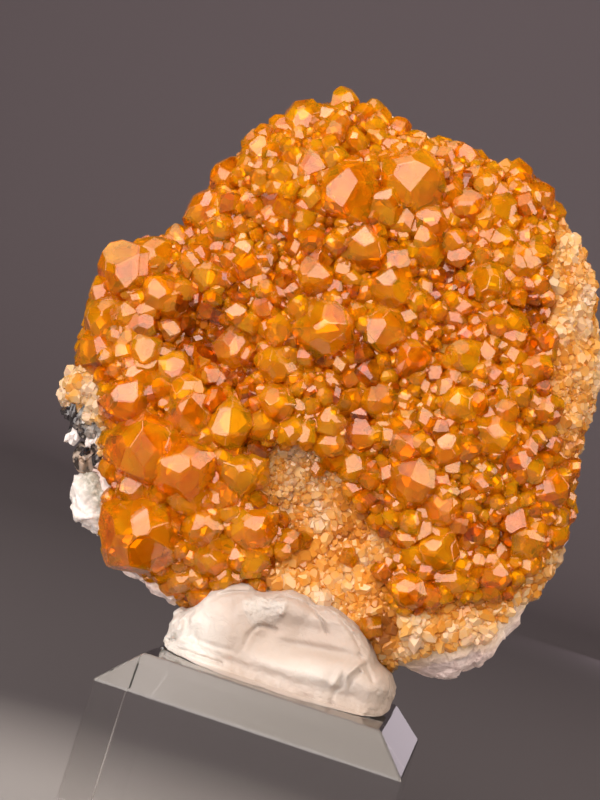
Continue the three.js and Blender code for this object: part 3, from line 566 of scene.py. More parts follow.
def chance_turns(rng, count):
    """Even turns in all directions, from random axes and angles."""
    axis = chance_ways(rng, count)
    return turned(axis, rng.uniform(0, 2 * math.pi, count))


# Listed garnets at least this large show a kite to the front, and still larger ones have growth steps.
KITE_RADIUS = 1.35
GRAND_RADIUS = 1.7
# How far the middles of listed garnets are from the rock, and of small ones low in a dark pocket.
LIFT = 0.9
LOW_LIFT = 0.2


def placed_garnets(entries):
    """Middles and turns of listed garnets: the main facet looks as its entry says, and the crystal is spun
    about that way by its number in the list times the golden angle."""
    u, v, radius, look_u, look_v = entries.T
    looks = np.stack([look_u, -np.sqrt(1 - look_u ** 2 - look_v ** 2), look_v], axis=1)
    large = radius >= KITE_RADIUS
    kite, rhomb = np.array([2, 1, 1]) / math.sqrt(6), np.array([1, 1, 0]) / math.sqrt(2)
    facet = np.where(large[:, None], kite, rhomb)
    spin = turned(looks, np.arange(len(entries)) * GOLDEN_ANGLE)
    away = np.hypot(u[:, None] - SHADED_POCKETS[:, 0], v[:, None] - SHADED_POCKETS[:, 1])
    low = np.min(away / SHADED_POCKETS[:, 2], axis=1) < 0.6
    lift = np.where(low & (radius < 2), LOW_LIFT, LIFT)
    middles = sighted(u, v, face_height(u, v) + lift)
    return middles, spin @ between(facet, looks)


def tone(middles, rng):
    """How deep each garnet's colour is, from 0 (yellow) to 1 (brown red): deepest in the pockets as painted
    shade, paler towards the rim as a painted glow, and off by smooth noise and by chance."""
    u, v = middles[:, 0], middles[:, 2]
    away = (u[:, None] - SHADED_POCKETS[:, 0]) ** 2 + (v[:, None] - SHADED_POCKETS[:, 1]) ** 2
    # The pocket term is painted shade where garnets sit low, and the rim term is a painted glow.
    pocket = np.exp(-away / SHADED_POCKETS[:, 2] ** 2).max(axis=1)
    edge = np.clip(np.hypot(u - PLATE_MIDDLE[0], v - PLATE_MIDDLE[1]) / 30, 0, 1) ** 3
    patches = 0.30 + 0.6 * pocket - 0.18 * edge + 0.18 * noise(middles, 6, 31)
    return np.clip(patches + rng.normal(0, 0.2, len(u)), 0, 1)


def spread(places, sizes, taken, taken_sizes, closeness):
    """Which places to keep so that none comes closer to another, or to a taken place, than closeness times
    the sum of the two sizes. Kept places are looked up in cubes as wide as the longest such distance."""
    free = np.ones(len(places), bool)
    for place, size in zip(taken, taken_sizes):
        free &= np.linalg.norm(places - place, axis=1) > closeness * (sizes + size)
    width = 2 * closeness * sizes.max()
    cubes = np.floor(places / width).astype(int).tolist()
    round_it = [(a - 1, b - 1, c - 1) for a, b, c in np.ndindex(3, 3, 3)]
    rows, radii = places.tolist(), sizes.tolist()
    filled, kept = {}, []
    for k in np.flatnonzero(free).tolist():
        x, y, z = cubes[k]
        near = [j for a, b, c in round_it for j in filled.get((x + a, y + b, z + c), ())]
        if all(math.dist(rows[k], rows[j]) > closeness * (radii[k] + radii[j]) for j in near):
            filled.setdefault((x, y, z), []).append(k)
            kept.append(k)
    return np.array(kept, int)


# Materials

def new_material(name):
    """A new material with its empty node tree, and the object's own coordinates."""
    material = bpy.data.materials.new(name)
    material.use_nodes = True
    tree = material.node_tree
    tree.nodes.clear()
    place = tree.nodes.new("ShaderNodeTexCoord").outputs["Object"]
    return material, tree, place


def node(tree, kind, inputs, output=0, **settings):
    """A node with its settings, its inputs set or joined up, and the output asked for."""
    made = tree.nodes.new(kind)
    for key, value in settings.items():
        setattr(made, key, value)
    for key, value in inputs.items():
        if isinstance(value, bpy.types.NodeSocket):
            tree.links.new(value, made.inputs[key])
        else:
            made.inputs[key].default_value = value
    return made.outputs[output]


def grain(tree, place, scale, detail=4.0, roughness=0.55, distortion=0.0):
    """Cloudy noise from 0 to 1, with scale in features a metre."""
    return node(tree, "ShaderNodeTexNoise", {
        "Vector": place, "Scale": scale, "Detail": detail, "Roughness": roughness, "Distortion": distortion,
    })


def cells(tree, place, scale):
    """How far each place is from the middle of its cell, with scale in cells a metre."""
    return node(tree, "ShaderNodeTexVoronoi", {"Vector": place, "Scale": scale}, output="Distance")


def bands_of(tree, place, scale, distortion, detail, detail_scale, way):
    """Wavy bands from 0 to 1 across a way, with scale in bands a metre."""
    return node(tree, "ShaderNodeTexWave", {
        "Vector": place, "Scale": scale, "Distortion": distortion, "Detail": detail,
        "Detail Scale": detail_scale,
    }, output="Fac", bands_direction=way)


def ramp(tree, factor, stops):
    """Colours along a factor, from stops of (place, (r, g, b))."""
    made = tree.nodes.new("ShaderNodeValToRGB")
    tree.links.new(factor, made.inputs[0])
    elements = made.color_ramp.elements
    while len(elements) < len(stops):
        elements.new(0.5)
    for element, (at, colour) in zip(elements, stops):
        element.position = at
        element.color = (*colour, 1)
    return made.outputs[0]


def spread_to(tree, value, low, high, to_low, to_high):
    """A value taken from one range to another, held at its ends."""
    return node(tree, "ShaderNodeMapRange", {
        "Value": value, "From Min": low, "From Max": high, "To Min": to_low, "To Max": to_high,
    })


def mixed(tree, factor, first, second):
    """Two colours mixed by a factor."""
    made = tree.nodes.new("ShaderNodeMix")
    made.data_type = "RGBA"
    for index, value in ((0, factor), (6, first), (7, second)):
        if isinstance(value, bpy.types.NodeSocket):
            tree.links.new(value, made.inputs[index])
        else:
            made.inputs[index].default_value = value if index == 0 else (*value, 1)
    return made.outputs[2]


def sums(tree, first, second, operation="ADD"):
    """Two numbers added, or put together by another operation."""
    return node(tree, "ShaderNodeMath", {0: first, 1: second}, operation=operation)


def bumped(tree, height, distance, strength):
    """A bump from a height, with distance in metres."""
    return node(tree, "ShaderNodeBump", {"Height": height, "Distance": distance, "Strength": strength})


def finish_surface(tree, inputs, absorption=None):
    """The surface shader, and what the inside absorbs as (colour, density a metre)."""
    surface = node(tree, "ShaderNodeBsdfPrincipled", inputs)
    out = tree.nodes.new("ShaderNodeOutputMaterial")
    tree.links.new(surface, out.inputs["Surface"])
    if absorption:
        colour, density = absorption
        within = node(tree, "ShaderNodeVolumeAbsorption", {"Color": (*colour, 1), "Density": density})
        tree.links.new(within, out.inputs["Volume"])


def attribute(tree, name):
    """A number kept for each point or face of the piece."""
    return node(tree, "ShaderNodeAttribute", {}, output="Fac", attribute_name=name)


def garnet_material():
    """Glassy orange garnet: each facet has its own depth of colour, and clear zones change to clouded
    ones."""
    material, tree, place = new_material("garnet_orange")
    veil = grain(tree, place, 420, detail=1)
    cloud = grain(tree, place, 1100, detail=2)
    depth = sums(tree, attribute(tree, "tone"), spread_to(tree, cloud, 0.35, 0.68, -0.13, 0.13))
    colour = ramp(tree, depth, [
        (0.0, (1.0, 0.475, 0.008)), (0.35, (1.0, 0.38, 0.004)), (0.65, (0.96, 0.285, 0.002)),
        (1.0, (0.42, 0.088, 0.001)),
    ])
    finish_surface(tree, {
        "Base Color": colour,
        "Roughness": spread_to(tree, veil, 0.3, 0.75, 0.0, 0.03),
        "IOR": 1.80,
        "Transmission Weight": spread_to(tree, veil, 0.30, 0.70, 0.84, 0.64),
        "Specular Tint": (0.84, 0.61, 0.57, 1.0),
    }, absorption=((1.0, 0.86, 0.05), 260))
    return material


def heart_material():
    """The clouded heart of a garnet, seen through its clear skin, each flaw in its own depth of colour:
    partly colour zoning and partly painted inner glints and dark reflections.
    """
    material, tree, place = new_material("garnet_heart")
    flaw = grain(tree, place, 600, detail=1)
    depth = sums(tree, attribute(tree, "tone"), spread_to(tree, flaw, 0.35, 0.68, -0.22, 0.22))
    colour = ramp(tree, depth, [
        (0.0, (1.0, 0.69, 0.03)), (0.35, (1.0, 0.555, 0.012)), (0.65, (0.97, 0.40, 0.008)),
        (0.88, (0.70, 0.21, 0.004)), (1.0, (0.22, 0.05, 0.001)),
    ])
    finish_surface(tree, {
        "Base Color": colour, "Metallic": 0.45, "Roughness": 0.16, "Specular IOR Level": 0.0,
    })
    return material


def druse_material():
    """Fine pale crystals, from cream to orange, waxy and a little see-through."""
    material, tree, place = new_material("druse_pale")
    cloud = grain(tree, place, 300, detail=3)
    # The kept tone is the grains' own colour, and in the pits painted shade.
    stain_and_shade = sums(tree, attribute(tree, "tone"), spread_to(tree, cloud, 0.35, 0.7, -0.2, 0.25))
    colour = ramp(tree, stain_and_shade, [
        (0.0, (1.0, 0.70, 0.46)), (0.16, (1.0, 0.68, 0.36)), (0.38, (1.0, 0.54, 0.16)),
        (0.62, (0.96, 0.40, 0.05)), (1.0, (0.48, 0.17, 0.03)),
    ])
    finish_surface(tree, {
        "Base Color": colour,
        "Roughness": spread_to(tree, cloud, 0.35, 0.65, 0.06, 0.22),
        "IOR": 1.6,
        "Transmission Weight": spread_to(tree, cloud, 0.35, 0.7, 0.54, 0.26),
        "Specular Tint": (0.88, 0.76, 0.70, 1.0),
        "Subsurface Weight": 0.25, "Subsurface Radius": (0.0004, 0.0003, 0.0002), "Subsurface Scale": 1.0,
        "Normal": bumped(tree, grain(tree, place, 3500, detail=0), 0.00002, 0.35),
    })
    return material


def rock_material():
    """Feldspar and quartz: cream, pink grey and smoky grains with dark specks, tan where crystals start."""
    material, tree, place = new_material("matrix_feldspar")
    blotch = grain(tree, place, 130, detail=5, distortion=0.8)
    body = ramp(tree, blotch, [
        (0.30, (0.76, 0.58, 0.54)), (0.45, (0.93, 0.75, 0.70)), (0.58, (0.97, 0.84, 0.79)),
        (0.72, (0.86, 0.65, 0.54)),
    ])
    mottle = spread_to(tree, grain(tree, place, 1900, detail=2), 0.44, 0.60, 0.0, 0.6)
    body = mixed(tree, mottle, body, (0.66, 0.48, 0.44))
    smoky = spread_to(tree, grain(tree, place, 420, detail=3), 0.56, 0.66, 0.0, 0.7)
    body = mixed(tree, smoky, body, (0.52, 0.42, 0.40))
    specks = spread_to(tree, cells(tree, place, 520), 0.10, 0.16, 0.85, 0.0)
    rare = spread_to(tree, grain(tree, place, 90, detail=1), 0.50, 0.58, 0.0, 1.0)
    body = mixed(tree, sums(tree, specks, rare, "MULTIPLY"), body, (0.05, 0.045, 0.04))
    body = mixed(tree, attribute(tree, "covered"), body, (0.96, 0.70, 0.36))
    rough = spread_to(tree, grain(tree, place, 900, detail=3), 0.3, 0.7, 0.35, 0.85)
    relief = sums(tree, grain(tree, place, 1400, detail=5, roughness=0.65), cells(tree, place, 800))
    finish_surface(tree, {
        "Base Color": body, "Roughness": rough, "IOR": 1.53,
        "Normal": bumped(tree, relief, 0.0002, 1.0),
    })
    return material


def covered_rock_material():
    """The rock right under the crystals, stained orange by garnet and tan by the fine crystals."""
    material, tree, place = new_material("matrix_under_crystals")
    patch = spread_to(tree, grain(tree, place, 500, detail=1), 0.35, 0.65, 0.0, 1.0)
    under_garnet = mixed(tree, patch, (1.0, 0.66, 0.10), (0.92, 0.38, 0.03))
    under_druse = mixed(tree, patch, (0.98, 0.76, 0.46), (0.97, 0.60, 0.24))
    body = mixed(tree, attribute(tree, "crust"), under_druse, under_garnet)
    finish_surface(tree, {"Base Color": body, "Roughness": 0.5, "IOR": 1.53})
    return material


def feldspar_material():
    """Smooth white feldspar with faint clouds and fine cleavage lines, and grey and brown grains in it."""
    material, tree, place = new_material("feldspar_white")
    cloud = grain(tree, place, 900, detail=4)
    grains = ramp(tree, cloud, [
        (0.30, (0.84, 0.76, 0.71)), (0.43, (0.58, 0.53, 0.46)), (0.53, (0.30, 0.28, 0.22)),
        (0.68, (0.68, 0.58, 0.47)),
    ])
    white = ramp(tree, cloud, [(0.35, (0.93, 0.86, 0.83)), (0.65, (0.84, 0.76, 0.71))])
    body = mixed(tree, attribute(tree, "grainy"), white, grains)
    lines = bands_of(tree, place, 330, 3.0, 3.0, 2.0, "DIAGONAL")
    finish_surface(tree, {
        "Base Color": body, "Roughness": spread_to(tree, cloud, 0.3, 0.7, 0.30, 0.6), "IOR": 1.53,
        "Subsurface Weight": 0.15, "Subsurface Radius": (0.0006, 0.0005, 0.0004), "Subsurface Scale": 1.0,
        "Normal": bumped(tree, sums(tree, lines, grain(tree, place, 1800)), 0.00006, 0.6),
    })
    return material


def dark_material():
    """Black shiny mineral with fine lines along it and brown grey worn places."""
    material, tree, place = new_material("mineral_black")
    wear = grain(tree, place, 520, detail=4)
    body = ramp(tree, wear, [
        (0.42, (0.012, 0.011, 0.014)), (0.56, (0.05, 0.04, 0.04)), (0.72, (0.30, 0.24, 0.19)),
    ])
    lines = bands_of(tree, place, 800, 4.0, 2.0, 1.5, "X")
    finish_surface(tree, {
        "Base Color": body, "Roughness": spread_to(tree, wear, 0.4, 0.7, 0.10, 0.5), "IOR": 1.65,
        "Normal": bumped(tree, lines, 0.00004, 0.6),
    })
    return material


def grey_material():
    """Silver grey flaky mineral with brown and pale grains."""
    material, tree, place = new_material("mineral_grey")
    flake = grain(tree, place, 700, detail=3)
    body = ramp(tree, flake, [
        (0.34, (0.05, 0.045, 0.042)), (0.48, (0.24, 0.22, 0.20)), (0.60, (0.50, 0.46, 0.42)),
        (0.72, (0.46, 0.33, 0.22)),
    ])
    finish_surface(tree, {
        "Base Color": body, "Metallic": 0.25, "IOR": 1.6,
        "Roughness": spread_to(tree, flake, 0.35, 0.7, 0.18, 0.5),
        "Normal": bumped(tree, grain(tree, place, 1500, detail=3), 0.00005, 0.7),
    })
    return material


def brown_material():
    """Brown grey mineral in fine bands, with black specks and a tan place."""
    material, tree, place = new_material("mineral_brown_banded")
    bands = bands_of(tree, place, 420, 5.0, 3.0, 2.0, "DIAGONAL")
    body = ramp(tree, bands, [
        (0.2, (0.04, 0.03, 0.025)), (0.5, (0.14, 0.10, 0.075)), (0.8, (0.40, 0.31, 0.25)),
    ])
    tan = spread_to(tree, grain(tree, place, 380, detail=2), 0.56, 0.64, 0.0, 0.6)
    body = mixed(tree, tan, body, (0.72, 0.46, 0.28))
    specks = spread_to(tree, cells(tree, place, 900), 0.12, 0.2, 0.9, 0.0)
    body = mixed(tree, specks, body, (0.03, 0.025, 0.022))
    finish_surface(tree, {
        "Base Color": body, "Roughness": spread_to(tree, bands, 0.2, 0.8, 0.2, 0.5), "IOR": 1.6,
        "Normal": bumped(tree, bands, 0.00006, 0.6),
    })
    return material


def putty_material():
    """Soft white putty: faint cream and pink clouds, fine wrinkles and a slight inner glow."""
    material, tree, place = new_material("putty_white")
    cloud = grain(tree, place, 160, detail=5)
    body = ramp(tree, cloud, [
        (0.30, (0.437, 0.349, 0.288)), (0.52, (0.474, 0.386, 0.33)), (0.72, (0.53, 0.456, 0.40)),
    ])
    dirt = spread_to(tree, grain(tree, place, 700, detail=6, roughness=0.7), 0.62, 0.72, 0.0, 0.35)
    body = mixed(tree, dirt, body, (0.50, 0.40, 0.30))
    # Paler towards the left end and on torn places, and a painted highlight on the band below the dent.
    body = mixed(tree, attribute(tree, "pale"), body, (0.78, 0.74, 0.69))
    # Painted shade in the wide dent.
    body = mixed(tree, attribute(tree, "dent_shade"), body, (0.437, 0.339, 0.279))
    patchy = spread_to(tree, grain(tree, place, 500), 0.4, 0.6, 0.5, 1.0)
    smears = sums(tree, attribute(tree, "film"), patchy, "MULTIPLY")
    body = mixed(tree, smears, body, (0.58, 0.48, 0.44))
    torn = attribute(tree, "torn")
    wrinkles = grain(tree, place, 800, detail=5, distortion=1.2)
    rags = sums(tree, grain(tree, place, 1500, detail=5, roughness=0.7), torn, "MULTIPLY")
    relief = sums(tree, sums(tree, wrinkles, 0.35, "MULTIPLY"), rags)
    finish_surface(tree, {
        "Base Color": body, "Roughness": spread_to(tree, cloud, 0.3, 0.7, 0.62, 0.5), "IOR": 1.48,
        "Subsurface Weight": 0.2, "Subsurface Radius": (0.0012, 0.0009, 0.0007), "Subsurface Scale": 1.0,
        "Normal": bumped(tree, relief, 0.0004, 1.0),
    })
    return material


def acrylic_material():
    """Clear polished acrylic with faint scuffs and wipe marks on its faces."""
    material, tree, place = new_material("acrylic_clear")
    scuffs = grain(tree, place, 90, detail=6, roughness=0.7, distortion=1.5)
    finish_surface(tree, {
        "Base Color": ramp(tree, scuffs, [(0.3, (0.985, 0.98, 0.98)), (0.7, (0.99, 0.99, 0.985))]),
        "Roughness": spread_to(tree, scuffs, 0.55, 0.75, 0.006, 0.05), "IOR": 1.49,
        "Transmission Weight": 1.0,
        "Normal": bumped(tree, scuffs, 0.00001, 0.15),
    }, absorption=((0.96, 0.97, 0.98), 3))
    return material


GARNET = garnet_material()
HEART = heart_material()
DRUSE = druse_material()
ROCK = rock_material()
COVERED_ROCK = covered_rock_material()
FELDSPAR = feldspar_material()
DARK = dark_material()
GREY = grey_material()
BROWN = brown_material()
PUTTY = putty_material()
ACRYLIC = acrylic_material()


# The rock

# The rock's skin has this many points round it, and this many rows on its front and on its back.
ROCK_AROUND = 420
ROCK_ROWS = 74
# How far behind the rim, in w, the stain under the crystals, the pale crystals and the garnets go.
COVER_LIMIT = -2.2
GARNET_LIMIT = -2.4
# How soft the edges of the areas are, in millimetres.
PALE_SOFTNESS = 0.8
FOOT_SOFTNESS = 0.9
BARE_SOFTNESS = 0.4
DARK_SOFTNESS = 0.5
# Nearby places, in widths of a soft edge.
NEAR = np.array([[0, 0], [1, 0], [-1, 0], [0, 1], [0, -1], [.7, .7], [-.7, .7], [.7, -.7], [-.7, -.7]])


def soft_inside(outline, u, v, width):
    """How far inside an outline each place is: the share of nine nearby places that are in it."""
    return np.mean([inside(outline, u + du, v + dv) for du, dv in width * NEAR], axis=0)


def build_rock():
    """The rock's skin as rows from the middle of its face over its rim to the middle of its back. Each
    point is pushed along its way out: where it is bare by broken chips and rough noise, and under crystals
    only by a little noise. Its foot and its bare edges are pushed out further."""
    step = (np.arange(ROCK_ROWS) + 1) / (ROCK_ROWS + 1)
    out = 1 - (1 - step) ** 2.2
    share = np.concatenate([out, [1.0], out[::-1]])
    front = np.concatenate([np.ones(ROCK_ROWS, bool), [True], np.zeros(ROCK_ROWS, bool)])
    around, share = np.meshgrid(np.arange(ROCK_AROUND) / ROCK_AROUND, share)
    skin = rock_skin(around, share, np.repeat(front[:, None], ROCK_AROUND, axis=1))
    first, last = (rock_skin(np.zeros(1), np.zeros(1), np.array([side])) for side in (True, False))
    u, v, w = (np.concatenate([first[k], skin[k].ravel(), last[k]]) for k in range(3))
    points = sighted(u, v, w)
    middle = np.array([PLATE_MIDDLE[0], 0.0, PLATE_MIDDLE[1]])
    ways = (points - middle) / PLATE_REACH ** 2
    ways /= np.linalg.norm(ways, axis=1)[:, None]
    pale = np.max([soft_inside(area, u, v, PALE_SOFTNESS) for area in PALE_AREAS], axis=0)
    toe = soft_inside(BARE_FOOT, u, v, FOOT_SOFTNESS)
    edge = soft_inside(BARE_EDGE, u, v, BARE_SOFTNESS)
    edge = np.maximum(edge, 0.6 * soft_inside(BARE_TOP, u, v, BARE_SOFTNESS))
    foot = np.maximum(toe, edge)
    dark = soft_inside(DARK_PATCH, u, v, DARK_SOFTNESS)
    bare = np.clip(np.maximum.reduce([foot, dark, np.clip((-w - 1.8) / 1.2, 0, 1)]), 0, 1)
    chips = broken(points, 6.5, 11, 1.6) * 0.55 + broken(points, 2.3, 29, 1.8) * 0.28
    rough = fractal(points, 3.0, 4, 41) * 0.28
    push = bare * (chips - 0.55 + rough) + (1 - bare) * fractal(points, 2.0, 3, 53) * 0.22
    points = points + ways * (push + 0.55 * toe + 1.6 * edge)[:, None]
    crust = (1 - pale) * (1 - foot) * (1 - dark)
    under = np.where(w > COVER_LIMIT, (1 - foot) * (1 - dark), 0)
    faces = sheet_faces(2 * ROCK_ROWS + 1, ROCK_AROUND)
    made = piece("rock_body", on_plate(points), faces, ROCK,
                 nodes=["matrix_rock"], values={"crust": crust, "covered": under})
    made.data.materials.append(COVERED_ROCK)
    lowest = np.array([min(under[list(side.vertices)]) for side in made.data.polygons])
    made.data.polygons.foreach_set("material_index", (lowest > 0.95).astype(np.int32))


# Garnets

# Crystals go round the rim to the places of the back that are at least this share of the way out.
BACK_LIMIT = 0.978
# How many chance places are tried for the small garnets, and how many shapes there are of each kind.
GARNET_TRIES = 16000
KITE_SHAPES = 60
RHOMB_SHAPES = 30
HEART_SHAPES = 24
# How close small garnets may come to others, in sums of their sizes.
GARNET_CLOSENESS = 0.46
# How much the faces of a crystal differ in depth of colour, and how deep it is in the lone garnets.
GARNET_CONTRAST = 0.18
# In the hearts this spread between faces is partly painted inner glints and dark reflections.
HEART_CONTRAST = 0.34
LONE_TONE = 0.35


def skin_table():
    """Shares of the way out along the skin, front then back, with the area that each stands for."""
    share = 1 - (1 - np.linspace(0, 1, 500)) ** 3
    back = share[::-1][share[::-1] > BACK_LIMIT]
    shares = np.concatenate([share, back])
    front = np.concatenate([np.ones(len(share), bool), np.zeros(len(back), bool)])
    height = np.where(front, FACE_RISE, -BACK_DEPTH) * np.sqrt(np.clip(1 - shares ** RIM_POWER, 0, 1))
    run = np.diff(shares * PLATE_REACH[0], prepend=0)
    steps = np.hypot(run, np.diff(height, prepend=height[0]))
    return shares, front, np.cumsum(steps * shares)


def skin_places(rng, count):
    """Even chance places on the skin in the plate's frame, with their ways out and their (u, v, w)."""
    shares, front, area = skin_table()
    row = np.searchsorted(area, rng.uniform(0, area[-1], count))
    around, share, side = rng.uniform(0, 1, count), shares[row], front[row]

    def at(a, s):
        """Places on the same side of the skin, a round it and s of the way out."""
        return sighted(*rock_skin(a % 1, np.clip(s, 0, 1), side))

    along = at(around + 3 / RIM_COUNT, share) - at(around - 3 / RIM_COUNT, share)
    outward = at(around, share + 0.002) - at(around, share - 0.002)
    ways = np.cross(along, outward)
    ways /= np.maximum(np.linalg.norm(ways, axis=1), 1e-9)[:, None]
    ways *= np.where(side, 1, -1)[:, None]
    return at(around, share), ways, rock_skin(around, share, side)


def in_any(outlines, u, v):
    """Whether each (u, v) is in one of the outlines."""
    return np.any([inside(outline, u, v) for outline in outlines], axis=0)


def build_garnets():
    """The crust: listed garnets, then small ones wherever the skin between and round them is still bare. A
    small one stands out by 0.3 + 0.4 radius + chance, less towards the rim, and its colour is painted
    deeper, as shade, the lower it sits. Each garnet has a heart 0.76 times as large. The lone garnets are
    pieces of their own."""
    rng = np.random.default_rng(7)
    entries = np.concatenate([GARNETS, SMALL_GARNETS])
    middles, turns = placed_garnets(entries)
    shapes = [garnet_shape(rng, rng.uniform(1.02, 1.12), 0.095) for _ in range(KITE_SHAPES)]
    shapes += [garnet_shape(rng, rng.uniform(0.86, 0.93), 0.08) for _ in range(RHOMB_SHAPES)]
    plain = len(shapes)
    kite = rng.integers(0, KITE_SHAPES, len(entries))
    rhomb = rng.integers(KITE_SHAPES, plain, len(entries))
    which = np.where(entries[:, 2] >= KITE_RADIUS, kite, rhomb)
    grand = np.flatnonzero(entries[:, 2] >= GRAND_RADIUS)
    shapes += [stepped(rng, *garnet_shape(rng, rng.uniform(1.04, 1.12), 0.065)) for _ in grand]
    which[grand] = plain + np.arange(len(grand))
    # Crystals are larger than their listed facets look, and least so near the rim.
    rim = np.clip(middles[:, 1] + 5.5, 0, 3) / 3
    sizes = (entries[:, 2] * 1.16 + 0.16) * (1 - 0.10 * rim)

    places, ways, (u, v, w) = skin_places(rng, GARNET_TRIES)
    elsewhere = in_any((*PALE_AREAS, BARE_FOOT, BARE_EDGE, BARE_TOP, DARK_PATCH), u, v)
    wanted = ~elsewhere & (w > GARNET_LIMIT)
    small = 0.75 + 0.85 * rng.uniform(0, 1, len(u)) ** 1.4
    places, ways, small, w = places[wanted], ways[wanted], small[wanted], w[wanted]
    lift = rng.uniform(0, 0.6, len(small))
    rise = (0.3 + 0.4 * small + lift) * np.clip(0.3 + w / 5, 0.3, 1)
    seats = places + ways * rise[:, None]
    kept = spread(seats, small, middles, sizes * 0.85, GARNET_CLOSENESS)
    which = np.concatenate([which, rng.integers(0, plain, len(kept))])
    turns = np.concatenate([turns, chance_turns(rng, len(kept))])
    sizes = np.concatenate([sizes, small[kept]])
    middles = np.concatenate([middles, seats[kept]])
    depth = tone(middles, rng)
    # Small garnets seated lower are painted deeper in colour, as shade between the crystals.
    depth[len(entries):] += 0.75 * (0.34 - lift[kept])
    grown_together("garnet_crystals", rng, shapes, which, turns, sizes, middles, depth, GARNET_CONTRAST,
                   GARNET, ["garnet_crust"])
    inner = [grain_shape(rng, 1.1) for _ in range(HEART_SHAPES)]
    reach = np.array([np.linalg.norm(corners, axis=1).max() for corners, _ in inner])
    which = rng.integers(0, HEART_SHAPES, len(sizes))
    turns = chance_turns(rng, len(sizes))
    grown_together("garnet_hearts", rng, inner, which, turns, sizes * 0.76 / reach[which], middles, depth,
                   HEART_CONTRAST, HEART)

    middles, turns = placed_garnets(LONE_GARNETS)
    for k, (middle, turn, entry) in enumerate(zip(middles, turns, LONE_GARNETS)):
        corners, sides = garnet_shape(rng, 0.9, 0.03)
        made = piece(f"lone_garnet_crystal_{k + 1}", on_plate(corners @ turn.T * entry[2] + middle),
                     [side.tolist() for side in sides], GARNET, nodes=[f"lone_garnet_{k + 1}"])
        keep_numbers(made.data, "tone", "FACE", np.full(len(sides), LONE_TONE))


# Fine pale crystals

# The pale areas as (piece, outline, node that it takes the place of, how deep its colour is).
DRUSE_AREAS = (
    ("druse_lower", DRUSE_LOWER, "pale_druse", 0.36),
    ("druse_right", DRUSE_RIGHT, "pale_druse_right", 0.46),
    ("druse_left", DRUSE_LEFT, "pale_druse_left", 0.20),
)
# How many places are tried for the grains and for the heap at the left, how many shapes there are of each
# greatest length, how close grains may come, and how much the faces of one differ in depth of colour.
GRAIN_TRIES = 40000
HEAP_TRIES = 420
GRAIN_SHAPES = 16
GRAIN_LENGTHS = (1.3, 2.3)
GRAIN_CLOSENESS = 0.36
GRAIN_CONTRAST = 0.08
# How far down, in v, the grains start to be deeper in colour, and how far down some are long.
WARM_BELOW = -12
BLADED_BELOW = -18


def build_druse():
    """Grains over each pale area, grown together: fine in the top of the hollow, coarser and warmer below,
    and some of them long at the bottom. They stand out by two sizes of smooth noise, so they heap up and
    leave pits, and the pits are painted deeper in colour as shade. The left area has a heap of its own."""
    rng = np.random.default_rng(21)
    shapes = [grain_shape(rng, longest) for longest in np.repeat(GRAIN_LENGTHS, GRAIN_SHAPES)]
    places, ways, (u, v, w) = skin_places(rng, GRAIN_TRIES)
    bare = soft_inside(BARE_FOOT, u, v, FOOT_SOFTNESS) > 0.2
    heap = chance_ways(rng, HEAP_TRIES)
    for name, outline, node_name, warmth in DRUSE_AREAS:
        wanted = inside(outline, u, v) & ~bare & (w > COVER_LIMIT)
        here, out = places[wanted], ways[wanted]
        if outline is DRUSE_LEFT:
            here = np.concatenate([here, sighted(*LEFT_HEAP[:3]) + heap * LEFT_HEAP[3:]])
            out = np.concatenate([out, heap])
        fine = soft_inside(FINE_HOLLOW, here[:, 0], here[:, 2], 1.2)
        sizes = (0.33 + 0.52 * rng.uniform(0, 1, len(here)) ** 1.8) * (1 - 0.36 * fine)
        heaped = 0.65 * noise(here, 2.4, 15) + 0.30 * noise(here, 1.1, 27)
        seats = here + out * (0.35 + heaped + rng.uniform(-0.15, 0.15, len(here)))[:, None]
        kept = spread(seats, sizes, [], [], GRAIN_CLOSENESS)
        seats, sizes, heaped, fine = seats[kept], sizes[kept], heaped[kept], fine[kept]
        edge = 1 - soft_inside(outline, seats[:, 0], seats[:, 2], 2.4)
        patches = 0.26 * noise(seats, 4.0, 3) + 0.14 * noise(seats, 1.6, 8) - 0.05
        band = 0.11 * np.clip((WARM_BELOW - seats[:, 2]) / 4, 0, 1)
        # The heaped term paints the pits deeper in colour as shade; the other terms are the grains' own
        # colour.
        stain_and_shade = warmth + 0.28 * edge + band + patches - 0.62 * heaped - 0.10 * fine
        stain_and_shade = np.clip(stain_and_shade + rng.normal(0, 0.09, len(seats)), 0, 1)
        bladed = (seats[:, 2] < BLADED_BELOW) & (rng.uniform(0, 1, len(seats)) < 0.4)
        which = rng.integers(0, GRAIN_SHAPES, len(seats)) + GRAIN_SHAPES * bladed
        turns = chance_turns(rng, len(seats))
        grown_together(name, rng, shapes, which, turns, sizes, seats, stain_and_shade, GRAIN_CONTRAST,
                       DRUSE, [node_name])


# Lumps at the left rim

LUMP_ROWS = 60
LUMP_AROUND = 110


def lump_skin(place, reach, turn, grow, chip, rough, seed):
    """A stretched ball, pushed in and out by chips and noise and turned in the plane of the plate."""
    fall = np.linspace(0, math.pi, LUMP_ROWS + 2)[1:-1, None]
    angle = np.linspace(0, 2 * math.pi, LUMP_AROUND, endpoint=False)
    ball = np.broadcast_arrays(np.sin(fall) * np.cos(angle), np.sin(fall) * np.sin(angle), np.cos(fall))
    ball = np.stack(ball, axis=-1).reshape(-1, 3)
    ball = np.concatenate([[[0, 0, 1]], ball, [[0, 0, -1]]])
    shape = ball * (np.array(reach) + grow)
    push = broken(shape, 1.9, seed, 1.6) * chip + fractal(shape, 1.2, 4, seed + 9) * rough
    shape = (shape + ball * push[:, None]) @ turned([0, 1, 0], turn).T
    faces = sheet_faces(LUMP_ROWS, LUMP_AROUND)
    return shape + sighted(*np.array(place, float)), [face[::-1] for face in faces]


